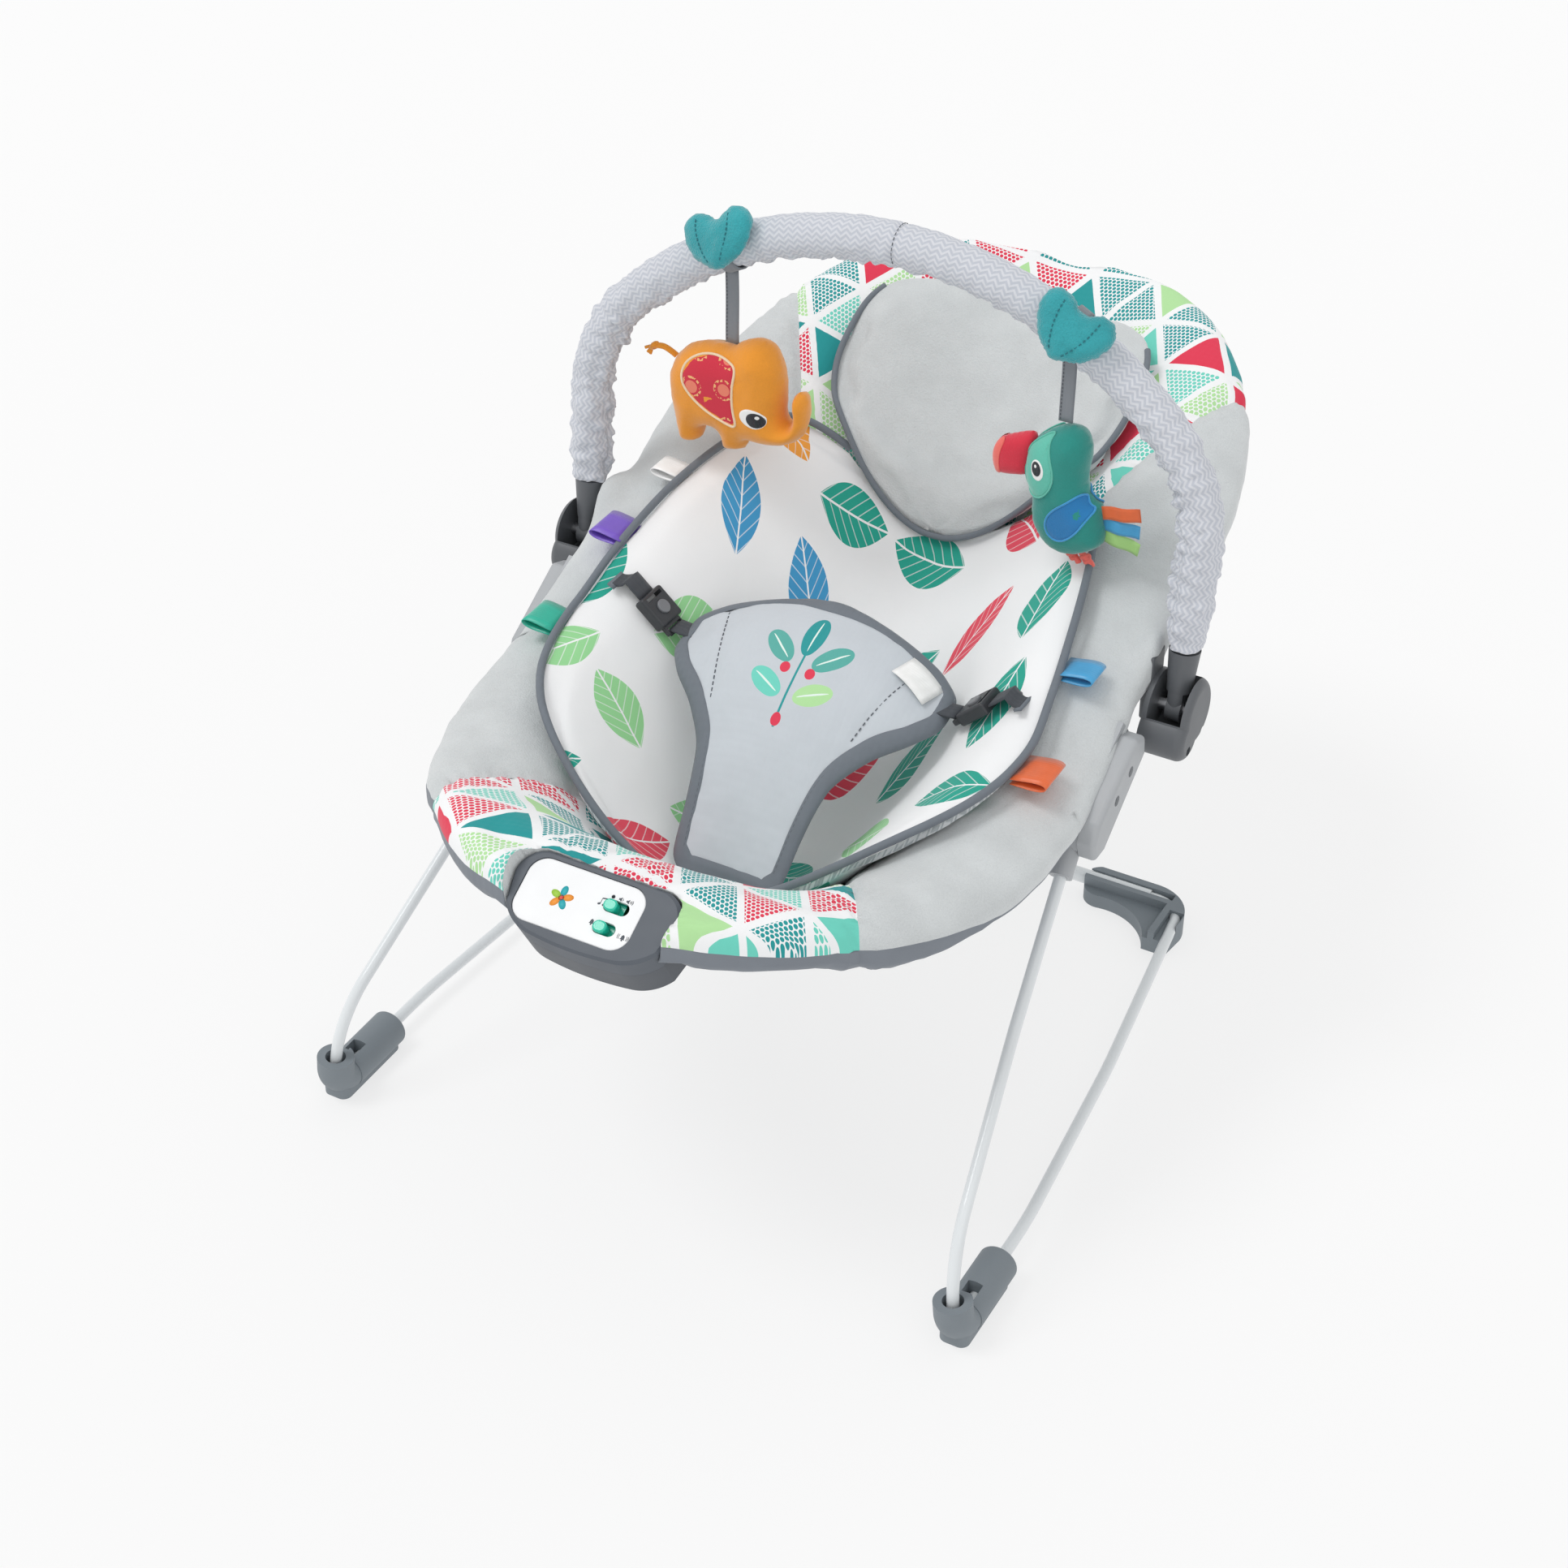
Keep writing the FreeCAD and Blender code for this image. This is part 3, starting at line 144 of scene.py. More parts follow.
def crown(across, along):
    """Height of a stuffed form, 1 in the middle and 0 at the seam. Both places run from -1 to 1."""
    return max(0.0, 1 - abs(across) ** 3.2) ** 0.6 * max(0.0, 1 - abs(along) ** 8) ** 0.6


def sling(x, y):
    s = min(abs(x) / half_width(y), 1.0)
    top, deep = bolster_top(y), hollow(y)
    if s < BOLSTER_PLACE:
        rise = top - (top + deep) * math.cos(math.pi * s / (2 * BOLSTER_PLACE)) ** 2
    else:
        rise = top * math.sqrt(max(0.0, 1 - ((s - BOLSTER_PLACE) / (1 - BOLSTER_PLACE)) ** 2))
    return rim_z(y) + rise


def sling_bottom(x, y):
    s = min(abs(x) / half_width(y), 1.0)
    under = bolster_bottom(y)
    if s < BOLSTER_PLACE:
        share = (s / BOLSTER_PLACE) ** 2 * (3 - 2 * s / BOLSTER_PLACE)
        return sling(x, y) - sling_thick(y) - (bolster_top(y) + under - sling_thick(y)) * share
    return rim_z(y) - under * math.sqrt(max(0.0, 1 - ((s - BOLSTER_PLACE) / (1 - BOLSTER_PLACE)) ** 2))


def panel_height(x, y):
    s = min(abs(x) / panel_half(y), 1.0)
    return panel_crown(y) + (panel_edge(y) - panel_crown(y)) * s ** 2.2


# ---------------------------------------------------------------- materials
def srgb(r, g, b):
    """Linear colour from 0-255 display values."""
    return [((c / 255 + 0.055) / 1.055) ** 2.4 if c > 10 else c / 3294.6 for c in (r, g, b)] + [1.0]


class Nodes:
    """Short helpers for building one material's node tree."""

    def __init__(self, name):
        self.material = bpy.data.materials.new(name)
        self.material.use_nodes = True
        self.tree = self.material.node_tree
        self.shader = self.tree.nodes["Principled BSDF"]

    def add(self, kind, **values):
        node = self.tree.nodes.new(kind)
        for key, value in values.items():
            setattr(node, key, value)
        return node

    def link(self, source, target):
        self.tree.links.new(source, target)

    def feed(self, socket, value):
        if isinstance(value, bpy.types.NodeSocket):
            self.link(value, socket)
        else:
            socket.default_value = value

    def math(self, operation, a, b=0.0, c=0.0):
        node = self.add("ShaderNodeMath", operation=operation)
        for socket, value in zip(node.inputs, (a, b, c)):
            self.feed(socket, value)
        return node.outputs[0]

    def mix(self, share, a, b):
        node = self.add("ShaderNodeMix", data_type="RGBA")
        self.feed(node.inputs[0], share)
        self.feed(node.inputs[6], a)
        self.feed(node.inputs[7], b)
        return node.outputs[2]

    def place(self, source="Object", scale=1.0):
        coordinates = self.add("ShaderNodeTexCoord").outputs[source]
        mapping = self.add("ShaderNodeMapping")
        mapping.inputs["Scale"].default_value = (scale, scale, scale) if np.isscalar(scale) else scale
        self.link(coordinates, mapping.inputs[0])
        return mapping.outputs[0]

    def noise(self, place, scale, detail=3.0):
        node = self.add("ShaderNodeTexNoise")
        node.inputs["Scale"].default_value = scale
        node.inputs["Detail"].default_value = detail
        self.link(place, node.inputs["Vector"])
        return node.outputs["Fac"]

    def bump(self, height, distance, strength=1.0):
        node = self.add("ShaderNodeBump")
        node.inputs["Strength"].default_value = strength
        node.inputs["Distance"].default_value = distance
        self.link(height, node.inputs["Height"])
        previous = self.shader.inputs["Normal"].links
        if previous:
            self.link(previous[0].from_socket, node.inputs["Normal"])
        self.link(node.outputs[0], self.shader.inputs["Normal"])

    def weave(self, place, scale, depth, strength, axes="XY", distortion=0.0):
        """Threads in the bump, along each of the axes."""
        for axis in axes:
            wave = self.add("ShaderNodeTexWave", bands_direction=axis)
            self.link(place, wave.inputs["Vector"])
            wave.inputs["Scale"].default_value = scale
            wave.inputs["Distortion"].default_value = distortion
            self.bump(wave.outputs["Fac"], depth, strength)

    def split(self, vector):
        node = self.add("ShaderNodeSeparateXYZ")
        self.link(vector, node.inputs[0])
        return node.outputs

    def times(self, a, b):
        return self.math("MULTIPLY", a, b)

    def less(self, a, b):
        return self.math("LESS_THAN", a, b)

    def bands(self, source, steps):
        """Hard-edged colour bands over 0 to 1; steps holds (start, colour) pairs from 0 up."""
        ramp = self.add("ShaderNodeValToRGB")
        ramp.color_ramp.interpolation = "CONSTANT"
        stops = ramp.color_ramp.elements
        stops[0].color = steps[0][1]
        stops[1].position, stops[1].color = steps[1]
        for position, colour in steps[2:]:
            stops.new(position).color = colour
        self.link(source, ramp.inputs[0])
        return ramp.outputs[0]

    def mottled(self, colour, spread, scale):
        """A colour that varies a little in lightness from place to place."""
        grain = self.noise(self.place(), scale)
        low = [c * (1 - spread) for c in colour[:3]] + [1.0]
        high = [min(1.0, c * (1 + spread)) for c in colour[:3]] + [1.0]
        return self.mix(grain, low, high)

    def finish(self, colour, roughness, sheen=0.0, coat=0.0, metallic=0.0):
        self.feed(self.shader.inputs["Base Color"], colour)
        self.shader.inputs["Roughness"].default_value = roughness
        self.shader.inputs["Sheen Weight"].default_value = sheen
        self.shader.inputs["Sheen Roughness"].default_value = 0.45
        self.shader.inputs["Coat Weight"].default_value = coat
        self.shader.inputs["Metallic"].default_value = metallic
        return self.material


def plush(name, colour, pile=0.0006, patchy=0.14):
    """Short-pile plush: soft nap patches, fine pile bump and sheen."""
    n = Nodes(name)
    nap = n.noise(n.place(), 34.0, 5.0)
    fine = n.noise(n.place(), 900.0, 2.0)
    low = [c * (1 - 1.6 * patchy) for c in colour[:3]] + [1.0]
    high = [min(1.0, c * (1 + 1.1 * patchy)) for c in colour[:3]] + [1.0]
    base = n.mix(n.math("MULTIPLY_ADD", fine, 0.35, n.math("MULTIPLY", nap, 0.75)), low, high)
    n.bump(nap, 0.0012, 0.5)
    n.bump(fine, pile, 0.8)
    return n.finish(base, 0.9, sheen=0.5)


def woven(name, colour, pitch=0.0009):
    """Plain weave: crossing threads in the bump, a little unevenness in the colour."""
    n = Nodes(name)
    base = n.mottled(colour, 0.08, 60.0)
    n.weave(n.place(), 0.05 / pitch, 0.00015, 0.6, distortion=0.6)
    return n.finish(base, 0.75, sheen=0.1)


def satin(name, colour):
    n = Nodes(name)
    base = n.mottled(colour, 0.12, 140.0)
    n.weave(n.place(), 160.0, 0.0001, 0.5, "Y")
    return n.finish(base, 0.35, sheen=0.3)


def moulded(name, colour, roughness=0.5, grain=0.00008, coat=0.0):
    """Moulded plastic or rubber: fine spark-eroded grain and slightly uneven gloss."""
    n = Nodes(name)
    base = n.mottled(colour, 0.05, 35.0)
    fine = n.noise(n.place(), 2200.0, 2.0)
    n.bump(fine, grain, 0.6)
    patch = n.noise(n.place(), 45.0, 2.0)
    n.link(n.math("MULTIPLY_ADD", patch, 0.16, roughness - 0.08), n.shader.inputs["Roughness"])
    return n.finish(base, roughness, coat=coat)


def painted(name, colour, roughness=0.3):
    """Powder-coated wire: faint orange peel under a soft gloss."""
    n = Nodes(name)
    base = n.mottled(colour, 0.03, 20.0)
    n.bump(n.noise(n.place(), 700.0, 2.0), 0.00006, 0.5)
    return n.finish(base, roughness, coat=0.3)


def steel(name, colour):
    n = Nodes(name)
    base = n.mottled(colour, 0.1, 300.0)
    n.bump(n.noise(n.place(scale=(1, 14, 14)), 260.0, 2.0), 0.00004, 0.5)
    return n.finish(base, 0.35, metallic=1.0)


def wrapped(n, value):
    """Distance from the nearest whole number."""
    return n.math("ABSOLUTE", n.math("SUBTRACT", n.math("FRACT", value), 0.5))


def dots(n, u, v, pitch, radius):
    """1 inside a close-packed grid of round dots, else 0. u, v and pitch in the same unit."""
    nearest = None
    for shift in (0.0, 0.5):
        x = n.math("ADD", n.math("DIVIDE", u, pitch), shift)
        y = n.math("ADD", n.math("DIVIDE", v, pitch * math.sqrt(3)), shift)
        dx, dy = [n.math("SUBTRACT", n.math("FRACT", k), 0.5) for k in (x, y)]
        dy = n.times(dy, math.sqrt(3))
        far = n.math("SQRT", n.math("ADD", n.times(dx, dx), n.times(dy, dy)))
        nearest = far if nearest is None else n.math("MINIMUM", nearest, far)
    return n.less(nearest, radius / pitch)


def uv_mm(n):
    """The two UV values in millimetres."""
    split = n.split(n.add("ShaderNodeTexCoord").outputs["UV"])
    return n.times(split[0], 1000.0), n.times(split[1], 1000.0)


RED, TEAL, MINT = srgb(222, 48, 78), srgb(20, 148, 150), srgb(108, 208, 190)
LEAF, WHITE = srgb(176, 222, 158), srgb(240, 241, 242)
TRIANGLE_SIDE, TRIANGLE_ROW, TRIANGLE_GAP = 58.0, 45.0, 0.06
DOT_PITCH, DOT_RADIUS = 3.9, 1.55
LEAVES_PER_METRE = 13.0


def triangle_print():
    """White cotton print of close-set triangles, some solid and some filled with dots."""
    n = Nodes("triangle_print")
    u, v = uv_mm(n)
    drift = n.noise(n.place("UV"), 9.0, 1.0)
    u = n.math("MULTIPLY_ADD", drift, 12.0, u)
    v = n.math("MULTIPLY_ADD", drift, -9.0, v)
    across = n.math("DIVIDE", u, TRIANGLE_SIDE)
    down = n.math("DIVIDE", v, TRIANGLE_ROW)
    lean = n.times(down, 0.5)
    lines = [down, n.math("ADD", across, lean), n.math("SUBTRACT", across, lean)]
    gap = None
    for value in lines:
        edge = n.math("SUBTRACT", 0.5, wrapped(n, value))
        gap = edge if gap is None else n.math("MINIMUM", gap, edge)
    key = n.add("ShaderNodeCombineXYZ")
    for socket, value in zip(key.inputs, lines):
        n.link(n.math("FLOOR", value), socket)
    pick = n.add("ShaderNodeTexWhiteNoise", noise_dimensions="3D")
    n.link(key.outputs[0], pick.inputs["Vector"])
    pick = pick.outputs["Value"]
    palette = [RED, RED, TEAL, MINT, LEAF, RED, TEAL, MINT, LEAF, TEAL]
    ink = n.bands(pick, [(i / len(palette), colour) for i, colour in enumerate(palette)])
    solid = n.less(n.math("FRACT", n.times(pick, 37.0)), 0.32)
    filled = n.math("MAXIMUM", solid, dots(n, u, v, DOT_PITCH, DOT_RADIUS))
    inked = n.times(filled, n.math("GREATER_THAN", gap, TRIANGLE_GAP))
    base = n.mix(inked, WHITE, ink)
    n.weave(n.place("UV"), 60.0, 0.00012, 0.4)
    return n.finish(base, 0.8, sheen=0.12)


def leaf_print():
    """White cotton with scattered leaves, each with a pale midrib."""
    n = Nodes("leaf_print")
    place = n.place("UV")
    cells = n.add("ShaderNodeTexVoronoi", voronoi_dimensions="2D")
    cells.inputs["Scale"].default_value = LEAVES_PER_METRE
    cells.inputs["Randomness"].default_value = 0.3
    n.link(place, cells.inputs["Vector"])
    to_middle = n.add("ShaderNodeVectorMath", operation="SUBTRACT")
    for socket, source in zip(to_middle.inputs, (place, cells.outputs["Position"])):
        scaled = n.add("ShaderNodeVectorMath", operation="SCALE")
        scaled.inputs["Scale"].default_value = LEAVES_PER_METRE
        n.link(source, scaled.inputs[0])
        n.link(scaled.outputs[0], socket)
    pick = n.add("ShaderNodeSeparateColor")
    n.link(cells.outputs["Color"], pick.inputs[0])
    turned = n.add("ShaderNodeVectorRotate", rotation_type="Z_AXIS")
    n.link(to_middle.outputs[0], turned.inputs["Vector"])
    n.link(n.times(pick.outputs[0], 6.28), turned.inputs["Angle"])
    x, y, _ = n.split(turned.outputs[0])
    off = n.math("ABSOLUTE", y)
    swell = n.math("SUBTRACT", 0.23, n.times(n.times(x, x), 1.45))
    leaf = n.math("GREATER_THAN", swell, off)
    vein = n.less(off, 0.009)
    ribs = n.less(wrapped(n, n.times(n.math("ADD", x, off), 9.0)), 0.06)
    colours = n.bands(pick.outputs[1], [(0.0, srgb(24, 160, 140)), (0.36, srgb(150, 214, 150)),
                                        (0.62, srgb(240, 160, 60)), (0.78, srgb(226, 66, 88)),
                                        (0.88, srgb(60, 150, 200))])
    inked = n.mix(n.math("MAXIMUM", vein, n.times(ribs, 0.55)), colours, WHITE)
    base = n.mix(leaf, WHITE, inked)
    n.bump(n.noise(n.place(), 900.0, 2.0), 0.00015, 0.5)
    return n.finish(base, 0.8, sheen=0.15)


def chevron(name, light, dark, across, along):
    """Knitted zigzag stripes: `across` is the zigzag's width and `along` its repeat, in millimetres."""
    n = Nodes(name)
    u, v = uv_mm(n)
    fold = wrapped(n, n.math("DIVIDE", u, across))
    phase = n.math("ADD", n.math("DIVIDE", v, along), n.times(fold, across / along * 0.9))
    stripe = n.add("ShaderNodeMapRange")
    stripe.inputs["From Min"].default_value = 0.17
    stripe.inputs["From Max"].default_value = 0.33
    n.link(wrapped(n, phase), stripe.inputs[0])
    stripe = stripe.outputs[0]
    grain = n.noise(n.place("UV"), 900.0, 2.0)
    base = n.mix(stripe, dark, light)
    n.bump(stripe, 0.0003, 0.5)
    n.bump(grain, 0.0003, 0.5)
    return n.finish(base, 0.85, sheen=0.2)


def inside_oval(n, x, y, cx, cy, a, b, turn=0.0):
    """1 inside a turned oval of the printed motif, else 0."""
    s, c = math.sin(turn), math.cos(turn)
    dx, dy = n.math("SUBTRACT", x, cx), n.math("SUBTRACT", y, cy)
    u = n.math("ADD", n.times(dx, c / a), n.times(dy, s / a))
    v = n.math("SUBTRACT", n.times(dy, c / b), n.times(dx, s / b))
    return n.less(n.math("ADD", n.times(u, u), n.times(v, v)), 1.0)


def motif_print():
    """Grey lap-panel cloth printed with one sprig: five leaves, their ribs and three berries."""
    n = Nodes("motif_print")
    split = n.split(n.place())
    x, y = n.times(split[0], 1000.0), n.math("MULTIPLY_ADD", split[1], 1000.0, CENTRE_Y)
    base = n.mottled(srgb(196, 202, 208), 0.03, 50.0)
    leaves = [(0, 232, 7.5, 15, 0.0, TEAL), (-19, 220, 7, 14, 0.9, srgb(84, 170, 160)),
              (19, 220, 7, 14, -0.9, srgb(84, 170, 160)), (-17, 196, 6.5, 13, 1.15, MINT),
              (17, 196, 6.5, 13, -1.15, LEAF)]
    stem = n.times(n.less(n.math("ABSOLUTE", x), 0.8),
                   n.less(n.math("ABSOLUTE", n.math("SUBTRACT", y, 200.0)), 26.0))
    base = n.mix(stem, base, TEAL)
    for cx, cy, a, b, turn, colour in leaves:
        base = n.mix(inside_oval(n, x, y, cx, cy, a, b, turn), base, colour)
        base = n.mix(inside_oval(n, x, y, cx, cy, 0.6, b * 0.8, turn), base, srgb(226, 240, 232))
    for cx, cy in ((-9, 207), (9, 207), (0, 178)):
        base = n.mix(inside_oval(n, x, y, cx, cy, 3.4, 3.4), base, RED)
    n.weave(n.place(), 75.0, 0.0001, 0.5)
    return n.finish(base, 0.7, sheen=0.25)


def saddle_cloth():
    """Red cotton with round coral suns ringed by short cream strokes."""
    n = Nodes("saddle_cloth")
    cells = n.add("ShaderNodeTexVoronoi")
    cells.inputs["Scale"].default_value = 42.0
    cells.inputs["Randomness"].default_value = 0.25
    n.link(n.place(scale=(1, 0, 1)), cells.inputs["Vector"])
    far = cells.outputs["Distance"]
    sun = n.less(far, 0.26)
    ring = n.times(n.math("GREATER_THAN", far, 0.31), n.less(far, 0.37))
    speck = n.math("GREATER_THAN", n.noise(n.place(), 520.0, 1.0), 0.52)
    base = n.mix(sun, srgb(206, 44, 66), srgb(232, 128, 104))
    base = n.mix(n.times(ring, speck), base, srgb(238, 180, 120))
    n.bump(n.noise(n.place(), 700.0, 2.0), 0.0002, 0.6)
    return n.finish(base, 0.85, sheen=0.2)


GREY = srgb(203, 207, 208)
M = {
    "plush_grey": plush("plush_grey", GREY),
    "print": triangle_print(),
    "leaves": leaf_print(),
    "underside": woven("underside_cloth", srgb(120, 126, 134)),
    "piping": woven("piping", srgb(110, 117, 125), 0.0007),
    "chevron": chevron("sleeve_chevron", srgb(211, 213, 219), srgb(190, 194, 203), 6.8, 3.9),
    "mesh_band": chevron("mesh_band", srgb(226, 230, 232), srgb(178, 186, 190), 7.0, 4.5),
    "ribbon": woven("ribbon_grey", srgb(128, 132, 138), 0.0005),
    "thread_grey": woven("thread_grey", srgb(90, 95, 102), 0.0004),
    "thread_teal": woven("thread_teal", srgb(24, 108, 118), 0.0004),
    "plush_teal": plush("plush_teal", srgb(50, 160, 168), 0.0012, 0.3),
    "bird_teal": plush("bird_teal", srgb(36, 140, 130), 0.0003),
    "bird_blue": plush("bird_blue", srgb(34, 120, 180), 0.0003),
    "bird_light": plush("bird_light", srgb(96, 190, 170), 0.0003),
    "coral": plush("coral", srgb(238, 110, 100), 0.0003),
    "red": plush("red", srgb(214, 44, 66), 0.0003),
    "orange": plush("orange", srgb(236, 152, 44), 0.0003),
    "cream": woven("cream", srgb(236, 212, 178), 0.0005),
    "purple_satin": satin("purple_satin", srgb(118, 84, 196)),
    "teal_satin": satin("teal_satin", srgb(26, 176, 150)),
    "orange_satin": satin("orange_satin", srgb(226, 104, 52)),
    "blue_satin": satin("blue_satin", srgb(70, 160, 210)),
    "green_satin": satin("green_satin", srgb(168, 214, 130)),
    "white_label": satin("white_label", srgb(244, 244, 242)),
    "eye_white": moulded("eye_white", srgb(240, 240, 238), 0.4),
    "eye_dark": moulded("eye_dark", srgb(30, 32, 40), 0.25, coat=0.4),
    "wire": painted("wire_white", srgb(222, 226, 228)),
    "frame": painted("frame_steel", srgb(150, 153, 156), 0.4),
    "foot": moulded("foot_rubber", srgb(122, 130, 136), 0.6),
    "bracket": moulded("plastic_grey", srgb(170, 173, 176), 0.5),
    "hub": moulded("plastic_dark", srgb(92, 95, 99), 0.45),
    "bezel": moulded("bezel_dark", srgb(84, 90, 98), 0.55, 0.00003),
    "case": moulded("case_dark", srgb(74, 79, 86), 0.5),
    "face": moulded("face_white", srgb(238, 239, 240), 0.5, 0.00002),
    "teal_knob": moulded("knob_teal", srgb(24, 190, 160), 0.3, 0.00003, coat=0.3),
    "buckle": moulded("buckle_black", srgb(52, 54, 58), 0.4),
    "button": moulded("button_grey", srgb(120, 122, 126), 0.4),
    "steel": steel("zinc_steel", srgb(190, 192, 196)),
    "cell": painted("cell_sleeve", srgb(60, 110, 170), 0.25),
    "board": moulded("board_green", srgb(30, 100, 60), 0.4, 0.00003),
    "speaker": moulded("speaker_black", srgb(40, 40, 42), 0.7),
    "ink": moulded("ink_grey", srgb(84, 90, 98), 0.6, 0.00001),
    "mark_orange": moulded("mark_orange", srgb(240, 150, 50), 0.5, 0.00001),
    "mark_teal": moulded("mark_teal", srgb(40, 170, 180), 0.5, 0.00001),
    "mark_lime": moulded("mark_lime", srgb(160, 205, 70), 0.5, 0.00001),
    "mark_red": moulded("mark_red", srgb(225, 70, 60), 0.5, 0.00001),
    "motif": motif_print(),
    "saddle": saddle_cloth(),
    "webbing": woven("webbing_dark", srgb(66, 70, 76), 0.0006),
    "bird_sky": plush("bird_sky", srgb(60, 150, 205), 0.0003),
}

CAD_LOOKS = {
    "wire": ["base_rail_left", "base_rail_right", "rear_cross_tube", "spring_arm_left", "spring_arm_right"],
    "frame": ["seat_frame_front_loop", "seat_frame_rear_loop"],
    "foot": ["front_foot_left", "front_foot_right", "rear_foot_left", "rear_foot_right"],
    "bracket": ["bracket_inner_left", "bracket_inner_right", "bracket_outer_left", "bracket_outer_right",
                "bar_core"],
    "hub": ["hub_base_left", "hub_base_right", "hub_cap_left", "hub_cap_right", "bar_socket_left",
            "bar_socket_right"],
    "bezel": ["unit_front_housing"],
    "case": ["unit_rear_case", "battery_door"],
    "face": ["unit_face_plate"],
    "teal_knob": ["volume_knob", "vibration_knob"],
    "buckle": ["buckle_housing_left", "buckle_housing_right", "buckle_tongue_left", "buckle_tongue_right"],
    "button": ["buckle_button_left", "buckle_button_right"],
    "steel": ["pivot_pins", "frame_screws", "unit_screws", "battery_door_screw", "battery_contacts",
              "motor_weight", "vibration_motor"],
    "cell": ["batteries"],
    "board": ["circuit_board"],
    "speaker": ["speaker"],
}


def dress_cad():
    for look, names in CAD_LOOKS.items():
        for name in names:
            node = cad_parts[name]
            for slot in node.material_slots:
                slot.material = M[look]


# ---------------------------------------------------------------- mesh tools
def linked(name, data):
    made = bpy.data.objects.new(name, data)
    SCENE.collection.objects.link(made)
    return made


def smoothed(mesh):
    mesh.polygons.foreach_set("use_smooth", [True] * len(mesh.polygons))
    return mesh


def set_coordinates(obj, co):
    obj.data.vertices.foreach_set("co", np.array(co, np.float32).ravel())
    obj.data.update()


def vertex_normals(obj):
    return np.array([v.normal for v in obj.data.vertices])


def new_object(name, points, faces, materials, face_materials=None, uvs=None):
    """A smooth-shaded mesh object. uvs gives one UV pair per point."""
    mesh = bpy.data.meshes.new(name)
    mesh.from_pydata([tuple(p) for p in points], [], faces)
    for material in materials:
        mesh.materials.append(material)
    if face_materials:
        mesh.polygons.foreach_set("material_index", face_materials)
    if uvs:
        layer = mesh.uv_layers.new(name="UVMap")
        corners = [uvs[loop.vertex_index] for loop in mesh.loops]
        layer.data.foreach_set("uv", np.array(corners, np.float32).ravel())
    smoothed(mesh).update()
    return linked(name, mesh)


def coordinates(mesh):
    co = np.empty(len(mesh.vertices) * 3, np.float32)
    mesh.vertices.foreach_get("co", co)
    return co.reshape(-1, 3)


def apply_modifiers(obj):
    """Replaces an object's mesh with what its modifiers make of it."""
    bpy.context.view_layer.update()
    made = bpy.data.meshes.new_from_object(obj.evaluated_get(bpy.context.evaluated_depsgraph_get()))
    obj.modifiers.clear()
    obj.data = smoothed(made)
    return obj


def remeshed(obj, voxel):
    remesh = obj.modifiers.new("Remesh", "REMESH")
    remesh.mode = "VOXEL"
    remesh.voxel_size = voxel
    return apply_modifiers(obj)


def puffed(obj, pressure, cap):
    """Blows a closed cloth form up a little, as stuffing does; no point moves further than cap."""
    before = coordinates(obj.data)
    cloth = obj.modifiers.new("Cloth", "CLOTH")
    cloth.settings.quality = 5
    cloth.settings.use_pressure = True
    cloth.settings.uniform_pressure_force = pressure
    cloth.settings.tension_stiffness = cloth.settings.compression_stiffness = 15.0
    cloth.settings.effector_weights.gravity = 0.0
    cloth.point_cache.frame_end = PUFF_FRAMES
    for step in range(1, PUFF_FRAMES + 1):
        SCENE.frame_set(step)
    moved = bpy.data.meshes.new_from_object(obj.evaluated_get(bpy.context.evaluated_depsgraph_get()))
    after = coordinates(moved)
    bpy.data.meshes.remove(moved)
    obj.modifiers.clear()
    SCENE.frame_set(1)
    shift = after - before
    size = np.linalg.norm(shift, axis=1, keepdims=True)
    set_coordinates(obj, before + shift * np.minimum(1.0, cap / np.maximum(size, 1e-9)))


def wrinkled(obj, amount, scale, seed):
    """Moves the surface in and out along its normals by smooth noise, in metres."""
    co = coordinates(obj.data)
    normals = vertex_normals(obj)
    for i, p in enumerate(co):
        q = Vector(p) * scale + Vector((seed, seed, seed))
        co[i] += normals[i] * amount * noise.fractal(q, 0.6, 2.0, 3)
    set_coordinates(obj, co)


def grid_faces(rows, columns, start=0, closed=False):
    """Quads of a grid of points; closed joins the last column to the first."""
    faces = []
    for r in range(rows - 1):
        for c in range(columns if closed else columns - 1):
            d = (c + 1) % columns
            a, b = start + r * columns, start + (r + 1) * columns
            faces.append((a + c, a + d, b + d, b + c))
    return faces


def tube(name, path, radius, material, segments=10, closed=False):
    """A round cord of mesh along points in metres."""
    curve = bpy.data.curves.new(name, "CURVE")
    curve.dimensions = "3D"
    curve.bevel_depth = radius
    curve.bevel_resolution = max(1, segments // 4)
    curve.use_fill_caps = not closed
    spline = curve.splines.new("NURBS")
    spline.points.add(len(path) - 1)
    for point, place in zip(spline.points, path):
        point.co = (*place, 1.0)
    spline.use_cyclic_u = closed
    spline.order_u = 3
    spline.use_endpoint_u = not closed
    spline.resolution_u = 4
    swept = linked(name, curve)
    mesh = bpy.data.meshes.new_from_object(swept)
    bpy.data.objects.remove(swept)
    mesh.materials.clear()
    mesh.materials.append(material)
    return linked(name, smoothed(mesh))


def joined(name, objects):
    """Several mesh objects as one."""
    mesh = bpy.data.meshes.new(name)
    gathered = bmesh.new()
    materials = []
    for obj in objects:
        offset = []
        for material in obj.data.materials:
            if material not in materials:
                materials.append(material)
            offset.append(materials.index(material))
        before = len(gathered.faces)
        gathered.from_mesh(obj.data)
        gathered.faces.ensure_lookup_table()
        for face in gathered.faces[before:]:
            face.material_index = offset[face.material_index] if offset else 0
        bpy.data.objects.remove(obj)
    gathered.to_mesh(mesh)
    gathered.free()
    for material in materials:
        mesh.materials.append(material)
    return linked(name, mesh)


